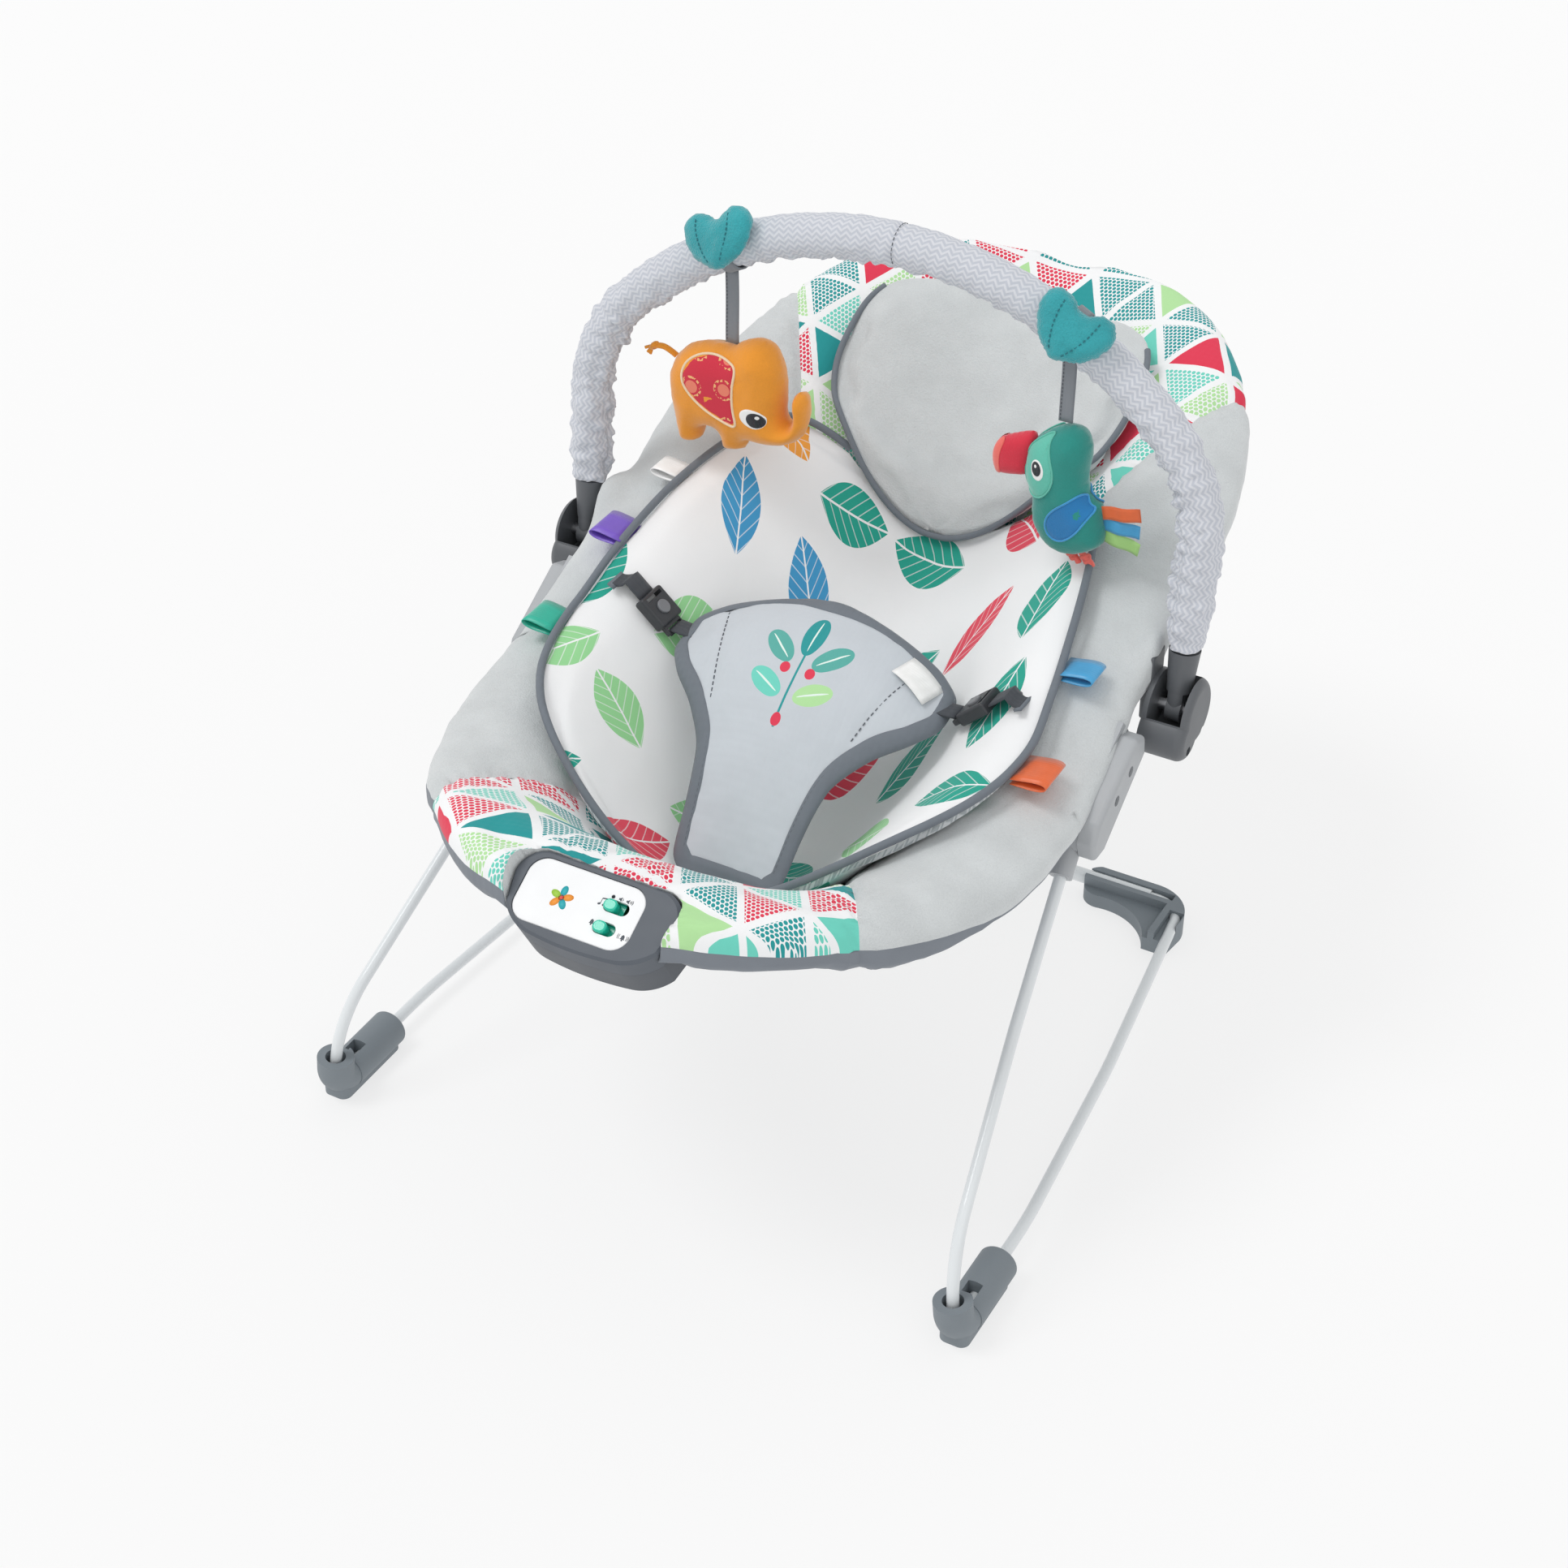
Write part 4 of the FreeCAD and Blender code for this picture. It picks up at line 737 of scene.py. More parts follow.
def stitches(name, path, length, gap, radius, material):
    """A row of short threads along a path of points in metres."""
    points = [Vector(p) for p in path]
    cumulative = [0.0]
    for a, b in zip(points, points[1:]):
        cumulative.append(cumulative[-1] + (b - a).length)

    def along(d):
        i = max(k for k in range(len(points) - 1) if cumulative[k] <= d)
        span = cumulative[i + 1] - cumulative[i]
        return points[i].lerp(points[i + 1], (d - cumulative[i]) / max(span, 1e-9))

    threads, d = [], 0.0
    while d + length < cumulative[-1]:
        ends = [along(d), along(d + length / 2), along(d + length)]
        threads.append(tube(name, ends, radius, material, 6))
        d += length + gap
    return joined(name, threads)


def settled(obj, body, slot, *replaced):
    """Every finished piece: the body it moves with, its finish slot (not used) and the CAD nodes it stands
    for.
    """
    if replaced:
        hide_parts(*replaced)
    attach(obj, body)
    return obj


# ---------------------------------------------------------------- seat cover
def seam_side(x, y):
    """Which panel a point of the cover lies in: 'front' or 'rear' print, or 'side' plush."""
    x = abs(x)
    (x0, y0), (x1, y1) = FRONT_SEAM
    if y < y1 and (x < x1 or (x - x1) * (y0 - y1) - (y - y1) * (x0 - x1) > 0 or y < y0):
        return "front"
    (x0, y0), (x1, y1) = REAR_SEAM
    if y > y1 and (x < x1 or (x - x1) * (y0 - y1) - (y - y1) * (x0 - x1) < 0 or y > y0):
        return "rear"
    return "side"


def seam_distance(x, y):
    """Millimetres from a point of the cover, seen from above, to the nearer panel seam."""
    best = 1e9
    for (x0, y0), (x1, y1) in (FRONT_SEAM, REAR_SEAM):
        dx, dy = x1 - x0, y1 - y0
        t = clamped(((abs(x) - x0) * dx + (y - y0) * dy) / (dx * dx + dy * dy), -0.2, 1.2)
        best = min(best, math.hypot(abs(x) - x0 - t * dx, y - y0 - t * dy))
    return best


ARC_STEP, ARC_RAYS, PRINT_CENTRE_Y = 5.0, 96, 270.0
DARK_END_Y = 190


def radial_arcs():
    """Length along the cover from the middle of the seat, at even plan steps of each ray of a ring."""
    rays = []
    for k in range(ARC_RAYS):
        a = 2 * math.pi * k / ARC_RAYS
        heights = []
        for i in range(75):
            x, y = i * ARC_STEP * math.cos(a), PRINT_CENTRE_Y + i * ARC_STEP * math.sin(a)
            heights.append(sling(x, clamped(y, -57, 620)))
        rays.append(np.concatenate([[0.0], np.cumsum(np.hypot(ARC_STEP, np.diff(heights)))]))
    return np.array(rays)


def unrolled(arcs, x, y):
    """The cloth's own flat coordinates at a point of the cover, in metres."""
    dx, dy = x, y - PRINT_CENTRE_Y
    far, ray = math.hypot(dx, dy), (math.atan2(dy, dx) / (2 * math.pi) * ARC_RAYS) % ARC_RAYS
    if far < 1e-6:
        return 0.0, 0.0
    first, share = int(ray) % ARC_RAYS, ray - int(ray)
    step = min(int(far / ARC_STEP), arcs.shape[1] - 2)
    part = far / ARC_STEP - step
    near, next_ray = [arcs[k][step] * (1 - part) + arcs[k][step + 1] * part
                      for k in (first, (first + 1) % ARC_RAYS)]
    run = near * (1 - share) + next_ray * share
    return dx / far * run / 1000, dy / far * run / 1000


def seat_cover():
    """The whole sewn cover: a closed form with printed ends, grey plush sides and a dark underside."""
    columns = 84
    ys = np.concatenate([np.linspace(-57, -30, 8)[:-1], np.linspace(-30, 585, 124)[:-1],
                         np.linspace(585, 620.5, 12)])
    stops = np.sin(np.linspace(-math.pi / 2, math.pi / 2, columns))
    stops = np.sign(stops) * np.abs(stops) ** 0.85
    points, uvs = [], []
    arcs = radial_arcs()
    for side in (0, 1):
        grid = np.zeros((len(ys), columns, 3))
        for r, y in enumerate(ys):
            w = half_width(y)
            low = 3.2 * clamped((90 - y) / 60)
            for c, s in enumerate(stops):
                seam = 1.5 * abs(s) ** 8
                z = sling(s * w, y) + seam if side == 0 else sling_bottom(s * w, y) - seam - low
                grid[r, c] = s * w, y, z
        points += [at(*p) for p in grid.reshape(-1, 3).tolist()]
        uvs += [unrolled(arcs, x, y) for x, y, _ in grid.reshape(-1, 3).tolist()]
    rows = len(ys)
    top = grid_faces(rows, columns)
    bottom = [f[::-1] for f in grid_faces(rows, columns, rows * columns)]
    walls = []
    for r in range(rows - 1):
        for c, flip in ((0, True), (columns - 1, False)):
            a, b = r * columns + c, (r + 1) * columns + c
            wall = (a, b, b + rows * columns, a + rows * columns)
            walls.append(wall if flip else wall[::-1])
    for r, flip in ((0, False), (rows - 1, True)):
        for c in range(columns - 1):
            a = r * columns + c
            wall = (a, a + 1, a + 1 + rows * columns, a + rows * columns)
            walls.append(wall[::-1] if flip else wall)
    cloths = [M["plush_grey"], M["print"], M["underside"]]
    cover = new_object("seat_cover_sewn", points, top + bottom + walls, cloths, uvs=uvs)
    cut_along_seams(cover)
    crease_cover(cover)
    cut_pocket(cover)
    settled(cover, "seat", "cover_fabric", "seat_cover", "underside_panel")


def crease_cover(cover):
    """Soft unevenness, sunk and puckered seams, puckers round the unit, a bulge over the hub clamps."""
    co = coordinates(cover.data)
    normals = vertex_normals(cover)
    for i, p in enumerate(co):
        x, y = plan_place(p)
        seam = seam_distance(x, y)
        dip = 2.8 * math.exp(-(seam / 3.6) ** 2)
        soft = noise.fractal(Vector((x / 60, y / 45, 0.3)), 0.7, 2.0, 3) * 1.8
        pull = math.exp(-(seam / 22.0) ** 2)
        shake = 2 * noise.noise(Vector((x / 20, y / 20, 1.0)))
        pucker = pull * 0.9 * math.sin((x * 0.35 + y * 0.5) + shake)
        ring = max(math.hypot(x / 64, (y + 42) / 42) - 1, 0.0)
        wave = math.sin(17 * math.atan2(y + 42, x) + 1.5 * math.sin(x / 9))
        pucker += 1.5 * math.exp(-(ring * 3.2) ** 2) * wave
        co[i] += normals[i] * (soft + pucker - dip) / 1000
        by_hub = math.exp(-((y - PIVOT_Y) / 19) ** 2)
        outer = clamped((abs(x) - 180) / 20)
        co[i][0] += math.copysign(0.0036, x) * by_hub * outer
        if normals[i][2] > 0:
            co[i][2] += 0.015 * by_hub * math.exp(-((abs(x) - 203) / 13) ** 2)
    set_coordinates(cover, co)


def cut_along_seams(cover):
    """Divides the cover's faces along the panel seams and gives each panel its cloth."""
    mesh = bmesh.new()
    mesh.from_mesh(cover.data)
    planes = []
    for (x0, y0), (x1, y1) in (FRONT_SEAM, REAR_SEAM):
        for side in (-1, 1):
            start, end = at(side * x0, y0, 0), at(side * x1, y1, 0)
            planes.append((start, (end - start).cross((0, 0, 1))))
    hem_point, hem_slope = at(0, -57, 271.5), Vector((0, 0.19, 1)).normalized()
    planes += [(at(0, DARK_END_Y, 0), (0, 1, 0)), (hem_point, hem_slope)]
    for point, normal in planes:
        bmesh.ops.bisect_plane(mesh, geom=mesh.verts[:] + mesh.edges[:] + mesh.faces[:], plane_co=point,
                               plane_no=normal)
    mesh.normal_update()
    for face in mesh.faces:
        middle = face.calc_center_median()
        x, y = plan_place(middle)
        lower = middle.z * 1000 < (sling(x, y) + sling_bottom(x, y)) / 2 - 2.0
        outward = (middle - at(0, 230, 0)).xy.dot(face.normal.xy) > 0
        below_hem = y < 112 and (middle - hem_point).dot(hem_slope) < 0
        if lower or (below_hem and outward and face.normal.z < 0.55):
            face.material_index = 2 if y < DARK_END_Y else 0
        else:
            face.material_index = 1 if seam_side(x, y) != "side" else 0
    mesh.to_mesh(cover.data)
    mesh.free()
    smoothed(cover.data)


def cut_pocket(cover):
    """Opens the sewn cover round the control unit, along the unit's own outline."""
    s, c = math.sin(UNIT_TILT), math.cos(UNIT_TILT)
    shell = coordinates(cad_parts["unit_front_housing"].data) * 1000
    along = (shell[:, 1] + CENTRE_Y - UNIT_Y) * c + (shell[:, 2] - UNIT_Z) * s
    outline = np.unique(np.round(np.column_stack([shell[:, 0] * 1.02, (along + 3) * 1.04 - 3]), 0), axis=0)
    block = bmesh.new()
    for x, y in outline.tolist():
        for height in (-46, 16):
            block.verts.new(unit_point(x, y, height))
    hull = bmesh.ops.convex_hull(block, input=block.verts)
    spare = {v for v in hull["geom_interior"] + hull["geom_unused"] if isinstance(v, bmesh.types.BMVert)}
    bmesh.ops.delete(block, geom=list(spare), context="VERTS")
    mesh = bpy.data.meshes.new("pocket")
    block.to_mesh(mesh)
    block.free()
    cutter = linked("pocket", mesh)
    boolean = cover.modifiers.new("Pocket", "BOOLEAN")
    boolean.operation = "DIFFERENCE"
    boolean.solver = "EXACT"
    boolean.object = cutter
    apply_modifiers(cover)
    bpy.data.objects.remove(cutter)


# ---------------------------------------------------------------- padded pieces that lie in the seat
def stuffed(name, half, y0, y1, middle, thick, rows, columns, edge, materials):
    """A closed sewn form over an outline x = +-half(y): a crowned top, a lower side and an edge between."""
    ys = eased(y0, y1, rows - 1)
    stops = [math.sin(math.pi * (c / (columns - 1) - 0.5)) for c in range(columns)]
    points, uvs = [], []
    for side in (1, -1):
        for r, y in enumerate(ys):
            w = half(y)
            end = 2 * (y - y0) / (y1 - y0) - 1
            run, last = 0.0, None
            row = []
            for s in stops:
                x = s * w
                rise = edge / 2 + (thick(y) - edge) / 2 * crown(s, end)
                p = Vector((x, y, middle(x, y) + side * rise))
                run += (p - last).length if last else 0.0
                last = p
                row.append((p, run))
            centre = row[len(row) // 2][1]
            for p, a in row:
                points.append(at(*p))
                uvs.append(((a - centre) / 1000, y / 1000))
    n = rows * columns
    top = grid_faces(rows, columns)
    faces = top + [f[::-1] for f in grid_faces(rows, columns, n)]
    rim = []
    for r in range(rows - 1):
        for c in (0, columns - 1):
            a, b = r * columns + c, (r + 1) * columns + c
            rim.append((a, b, b + n, a + n) if c == 0 else (b, a, a + n, b + n))
    for r in (0, rows - 1):
        for c in range(columns - 1):
            a = r * columns + c
            rim.append((a + 1, a, a + n, a + 1 + n) if r == 0 else (a, a + 1, a + 1 + n, a + n))
    kinds = [0] * len(faces) + [len(materials) - 1] * len(rim)
    return new_object(name, points, faces + rim, materials, kinds, uvs)


def outline_path(half, y0, y1, height, steps, grow=0.0):
    """Points round an outline x = +-half(y), anticlockwise from its foot end, in metres."""
    right = [(half(y) + grow, y) for y in eased(y0, y1, steps)]
    left = [(-x, y) for x, y in reversed(right)]
    return [at(x, y, height(x, y)) for x, y in right + left]


def pad_middle(x, y):
    """Middle surface of the body pad: on the sling, and lifted a little along its edge."""
    s = min(abs(x) / pad_half(y), 1.0)
    return sling(x, y) + FABRIC_GAP + PAD_T / 2 + 3.5 * s ** 6


def body_pad():
    foot, end = 72, 419
    pad = stuffed("body_pad_sewn", pad_half, foot, end, pad_middle, lambda y: PAD_T, 90, 60, 7.0,
                  [M["leaves"], M["mesh_band"]])
    puffed(pad, 3.0, 0.0025)
    wrinkled(pad, 0.0009, 22.0, 3.0)
    settled(pad, "seat", "pad_fabric", "body_pad")
    edge = outline_path(pad_half, foot, end, lambda x, y: pad_middle(x, y) + 4.6, 60, 0.6)

    def bare(point):
        x, y = plan_place(point)
        return y < HEAD_FOOT or abs(x) > head_half(y) - 4

    half = len(edge) // 2
    seen = [p for p in edge[half:] if bare(p)] + [p for p in edge[:half] if bare(p)]
    piping = tube("body_pad_piping", seen, 0.0027, M["piping"], 12)
    settled(piping, "seat", "underside_fabric")


def head_middle(x, y):
    over_pad = clamped((446 - y) / 30)
    return sling(x, y) + FABRIC_GAP + head_t(y) / 2 + (PAD_T + 3) * over_pad ** 2 * (3 - 2 * over_pad)


def headrest():
    pillow = stuffed("headrest_pillow", head_half, HEAD_FOOT, HEAD_END, head_middle,
                     lambda y: head_t(y) * 0.94, 46, 54, 4.0, [M["plush_grey"]])
    puffed(pillow, 5.0, 0.004)
    wrinkled(pillow, 0.0012, 26.0, 5.0)
    settled(pillow, "seat", "pillow_fabric", "headrest")
    edge = outline_path(head_half, HEAD_FOOT, HEAD_END, head_middle, 44, 0.4)
    edge = [p for p in edge if plan_place(p)[1] < 522]
    right = sorted([p for p in edge if p.x > 0], key=lambda p: -p.y)
    left = sorted([p for p in edge if p.x < 0], key=lambda p: p.y)
    piping = tube("headrest_piping", right + left, 0.0022, M["piping"], 12)
    settled(piping, "seat", "underside_fabric")


def restraint():
    """The padded crotch panel with its tape binding, stitch lines and blank label."""
    foot, top, thick, hem = 106, 267, 8.5, 3.0
    seam_x, seam_lean = 50, 0.33
    panel = stuffed("restraint_panel_sewn", panel_half, foot, top, panel_height, lambda y: thick, 90, 72,
                    hem, [M["motif"], M["piping"]])

    def groove(x, y):
        off = abs(abs(x) - seam_x - (y - 180) * seam_lean)
        return 1.5 * math.exp(-(off / 2.6) ** 2) * clamped((y - 176) / 14)

    co = coordinates(panel.data)
    for i, p in enumerate(co):
        x, y = plan_place(p)
        co[i][2] -= groove(x, y) * (1 if p[2] * 1000 > panel_height(x, y) else -1) / 1000
    set_coordinates(panel, co)
    wrinkled(panel, 0.0008, 34.0, 8.0)
    settled(panel, "seat", "pillow_fabric", "restraint_panel")

    def surface(x, y):
        s, end = min(abs(x) / panel_half(y), 1.0), 2 * (y - foot) / (top - foot) - 1
        return panel_height(x, y) + hem / 2 + (thick - hem) / 2 * crown(s, end)

    binding = taped_edge("restraint_binding", panel_half, foot, top, surface, panel_height, 7.5,
                         M["piping"])
    settled(binding, "seat", "underside_fabric")
    rows = []
    for side in (-1, 1):
        seam = [(side * (seam_x + (y - 180) * seam_lean), y) for y in range(184, 258, 3)]
        path = [at(x, y, surface(x, y) - groove(x, y) + 0.5) for x, y in seam if abs(x) < panel_half(y) - 8]
        rows.append(stitches("restraint_stitch", path, 0.0024, 0.0018, 0.0004, M["thread_grey"]))
    inner = outline_path(panel_half, foot + 6, top - 6, lambda x, y: surface(x, y) + 0.9, 60, -6.0)
    rows.append(stitches("restraint_stitch", inner, 0.0022, 0.0018, 0.0003, M["ink"]))
    settled(joined("restraint_stitching", rows), "seat", "underside_fabric")
    flat = [(60 + 3.2 * k, 238 - 0.9 * k, 1.5 + 1.8 * math.sin(math.pi * k / 8)) for k in range(9)]
    label = ribbon("restraint_label", [at(x, y, surface(x, y) + lift) for x, y, lift in flat], 0.021,
                   M["white_label"], Vector((0.27, 0.96, 0)))
    settled(label, "seat", "satin_ribbon")


def even_steps(outline, step):
    """The same closed outline with its points evenly spaced."""
    points = np.array(outline + [outline[0]])
    run = np.concatenate([[0.0], np.cumsum(np.hypot(*np.diff(points, axis=0).T))])
    places = np.linspace(0, run[-1], int(run[-1] / step), endpoint=False)
    return list(zip(*(np.interp(places, run, axis).tolist() for axis in points.T)))


def taped_edge(name, half, y0, y1, surface, middle, width, material):
    """Flat binding tape folded round the edge of a sewn panel."""
    ys = eased(y0, y1, 60)
    shares = [i / 6 for i in range(-5, 6)]
    path = [(half(y), y) for y in ys] + [(-half(y1) * k, y1) for k in shares]
    path += [(-half(y), y) for y in reversed(ys)] + [(half(y0) * k, y0) for k in shares]
    path = even_steps(corner_cut(path, 1), 2.6)
    points, n = [], len(path)
    for i, (x, y) in enumerate(path):
        (ax, ay), (bx, by) = path[i - 2], path[(i + 2) % n]
        span = math.hypot(bx - ax, by - ay)
        inx, iny = -(by - ay) / span, (bx - ax) / span

        def strip(insets, side):
            for inset, lift in insets:
                px, py = x + inx * inset, clamped(y + iny * inset, y0, y1)
                over = surface(px, py) + lift if side > 0 else 2 * middle(px, py) - surface(px, py) - lift
                points.append(at(px, py, over))

        wide = width + 4.0 * clamped((y - y1 + 24) / 16)
        strip(((wide, 0.1), (wide - 0.8, 1.1), (wide / 2, 1.6), (wide / 4, 1.9), (0.4, 1.4)), 1)
        points.append(at(x - inx * 1.5, y - iny * 1.5, middle(x, y)))
        strip(((0.4, 1.2), (wide / 4, 1.5), (wide / 2, 1.3), (wide - 0.8, 0.9), (wide, 0.1)), -1)
    across = len(points) // n
    faces = []
    for i in range(n):
        a, b = i * across, ((i + 1) % n) * across
        faces += [(a + k, b + k, b + k + 1, a + k + 1) for k in range(across - 1)]
    return new_object(name, points, faces, [material])


def ribbon(name, path, width, material, across, thick=0.0006):
    """A flat band along a path of points in metres; across is the direction of its width."""
    rows, uvs = [], []
    run = 0.0
    n = len(path)
    for i, p in enumerate(path):
        ahead = (path[min(i + 1, n - 1)] - path[max(i - 1, 0)]).normalized()
        side = (across - ahead * across.dot(ahead)).normalized()
        out = side.cross(ahead)
        run += (p - path[i - 1]).length if i else 0.0
        for face in (1, -1):
            for s in (-1, -0.5, 0, 0.5, 1):
                rows.append(p + side * (face * s * width / 2) + out * (face * thick / 2))
                uvs.append((face * s * width / 2, run))
    faces = [f[::-1] for f in grid_faces(n, 10, closed=True)]
    faces += [tuple(range(10)), tuple((n - 1) * 10 + k for k in range(9, -1, -1))]
    return new_object(name, rows, faces, [material], uvs=uvs)


LOOP_TAGS = ((-1, 266, 29, "purple_satin"), (-1, 190, 27, "teal_satin"), (-1, 322, 19, "white_label"),
             (1, 188, 29, "orange_satin"), (1, 262, 22, "blue_satin"))


def loop_tags():
    tags = []
    for side, y, width, look in LOOP_TAGS:
        x = pad_half(y) + 1.5
        z = pad_middle(x, y) - 0.5
        path = []
        for i in range(17):
            turn = math.pi * i / 16
            reach = 24.0 * math.sin(turn) ** 0.75
            lift = 5.0 * math.cos(turn) * (0.35 + 0.65 * math.sin(turn))
            path.append(at(side * (x + reach), y, z + lift + 0.10 * reach))
        tags.append(ribbon("loop_tag", path, width / 1000, M[look], Vector((0, 1, 0))))
    settled(joined("loop_tags_satin", tags), "seat", "satin_ribbon", "loop_tags")


WAIST_Y, BUCKLE_X, BUCKLE_SLOPE = 231, 116, math.radians(42.0)


def waist_straps():
    """The webbing each side: from a slot in the pad to the buckle, and a stub on the panel's wing."""
    lengthwise = Vector((0, 1, 0))
    for side, word in ((-1, "left"), (1, "right")):
        base = Vector((side * BUCKLE_X, WAIST_Y, sling(BUCKLE_X, WAIST_Y) + PAD_T + 12.5))
        out = Vector((side * math.cos(BUCKLE_SLOPE), 0, math.sin(BUCKLE_SLOPE)))
        path = [at(*(base + out * d)) for d in (15.1, 18, 22, 26, 30)]
        last = base + out * 30
        for step, rise in ((3, 0.62), (6, 0.28), (9, 0.04), (11, -0.12)):
            x = abs(last.x) + step
            rest = pad_middle(x, WAIST_Y) + PAD_T / 2 + 2.0
            path.append(at(side * x, WAIST_Y, rest + (last.z - rest) * rise))
        belt = ribbon("waist_strap", path, 0.0156, M["webbing"], lengthwise, 0.0014)
        slot = []
        for x in (abs(last.x) + 7.5, abs(last.x) + 10, abs(last.x) + 12.5):
            slot.append(at(side * x, WAIST_Y, pad_middle(x, WAIST_Y) + PAD_T / 2 + 1.6))
        patch = ribbon("strap_slot", slot, 0.0205, M["piping"], lengthwise, 0.0016)
        wing = Vector((side * 89, WAIST_Y, panel_height(89, WAIST_Y)))
        tip = Vector((side * 104.3, WAIST_Y, base.z - 6.8))
        stub = ribbon("wing_stub", [at(*tip.lerp(wing, k / 4)) for k in range(5)], 0.0145, M["webbing"],
                      lengthwise, 0.0014)
        tab = ribbon("buckle_tab", [at(*(base - out * d)) for d in (12, 14, 16.5)], 0.0145, M["webbing"],
                     lengthwise, 0.0014)
        settled(joined("waist_strap_" + word, [belt, patch, stub]), "seat", "webbing",
                *(("waist_straps",) if side < 0 else ()))
        settled(tab, f"tongue_{word}", "webbing")


# ---------------------------------------------------------------- toy bar
def on_bar(x, u, across=0.0):
    s, c = math.sin(BAR_LEAN), math.cos(BAR_LEAN)
    return Vector((x, PIVOT_Y + u * s + across * c, PIVOT_Z + u * c - across * s))


TURN = math.radians(45)
SHOULDER_X = BAR_X - BAR_SHOULDER_R * (1 - math.cos(TURN))
SHOULDER_U = BAR_LEG + BAR_SHOULDER_R * math.sin(TURN)
CROWN_R = SHOULDER_X / math.sin(TURN)
CROWN_U = SHOULDER_U + CROWN_R * (1 - math.cos(TURN))


def bar_point(x):
    return on_bar(x, CROWN_U - CROWN_R + math.sqrt(CROWN_R ** 2 - x ** 2))


def bar_line(step):
    """(x, u) points along the bar from the left sleeve end to the right one, evenly spaced."""
    raw = [(-BAR_X, SLEEVE_START + i) for i in range(int(BAR_LEG - SLEEVE_START))]
    for i in range(91):
        a = math.radians(i * 0.5)
        raw.append((-BAR_X + BAR_SHOULDER_R * (1 - math.cos(a)), BAR_LEG + BAR_SHOULDER_R * math.sin(a)))
    for i in range(1, 181):
        a = TURN - 2 * TURN * i / 180
        raw.append((-CROWN_R * math.sin(a), CROWN_U - CROWN_R + CROWN_R * math.cos(a)))
    raw += [(-x, u) for x, u in reversed(raw[:-180])][1:]
    line, left = [raw[0]], 0.0
    for a, b in zip(raw, raw[1:]):
        span = math.hypot(b[0] - a[0], b[1] - a[1])
        left += span
        while left >= step:
            left -= step
            t = 1 - left / span
            line.append((a[0] + (b[0] - a[0]) * t, a[1] + (b[1] - a[1]) * t))
    return line


SLEEVE_STEP = 1.5


def sleeve():
    """The gathered cloth sleeve: wrinkled most along its inner side, and drawn in at its ends."""
    line = bar_line(SLEEVE_STEP)
    n, around = len(line), 56
    plane_out = (on_bar(0, 0, 1) - on_bar(0, 0, 0)).normalized()
    points, uvs = [], []
    for i, (x, u) in enumerate(line):
        p = on_bar(x, u)
        ahead = (on_bar(*line[min(i + 1, n - 1)]) - on_bar(*line[max(i - 1, 0)])).normalized()
        inward = ahead.cross(plane_out).normalized()
        if inward.dot(on_bar(0, 100) - p) < 0:
            inward = -inward
        run = i * SLEEVE_STEP
        end = min(i, n - 1 - i) * SLEEVE_STEP
        neck = SLEEVE_R * (1 - 0.30 * math.exp(-end / 9.0))
        neck += 0.9 * math.sin(run / 2.1) * math.exp(-end / 10.0) - 0.8 * math.exp(-(x / 2.2) ** 2)
        if u > 130:
            neck -= 0.9 * math.exp(-((abs(x) - 205) / 2.6) ** 2)
        leg = clamped((abs(x) - 150) / 50)
        for k in range(around):
            a = 2 * math.pi * k / around
            inner = max(0.0, math.cos(a)) ** 1.5
            gather = noise.noise(Vector((run / 7.0, math.cos(a) * 1.6, math.sin(a) * 1.6)))
            fine = noise.noise(Vector((run / 3.2, math.cos(a) * 2.6 + 7, math.sin(a) * 2.6)))
            r = neck + gather * (0.7 + 1.9 * inner + 1.6 * leg) + fine * (0.4 + 1.3 * inner + 0.9 * leg)
            points.append(at(*(p + (inward * math.cos(a) + plane_out * math.sin(a)) * r)))
            uvs.append((run / 1000, 2 * math.pi * SLEEVE_R * k / around / 1000))
    faces = grid_faces(n, around, closed=True)
    made = new_object("bar_sleeve_cloth", points, faces, [M["chevron"]], uvs=uvs)
    settled(made, "toy_bar", "sleeve_fabric", "bar_sleeve")
    turns = [math.radians(d) for d in range(-60, 241, 12)]
    seam = [at(*(bar_point(0) + Vector((0, math.cos(a) * 13.9, math.sin(a) * 13.9)))) for a in turns]
    thread = stitches("sleeve_seam_stitch", seam, 0.002, 0.0014, 0.0003, M["thread_grey"])
    settled(thread, "toy_bar", "ribbon_grey")


def corner_cut(outline, rounds=3):
    """Smooths a closed outline by cutting its corners."""
    points = [tuple(p) for p in outline]
    for _ in range(rounds):
        made = []
        for i, p in enumerate(points):
            q = points[(i + 1) % len(points)]
            made.append((0.75 * p[0] + 0.25 * q[0], 0.75 * p[1] + 0.25 * q[1]))
            made.append((0.25 * p[0] + 0.75 * q[0], 0.25 * p[1] + 0.75 * q[1]))
        points = made
    return points


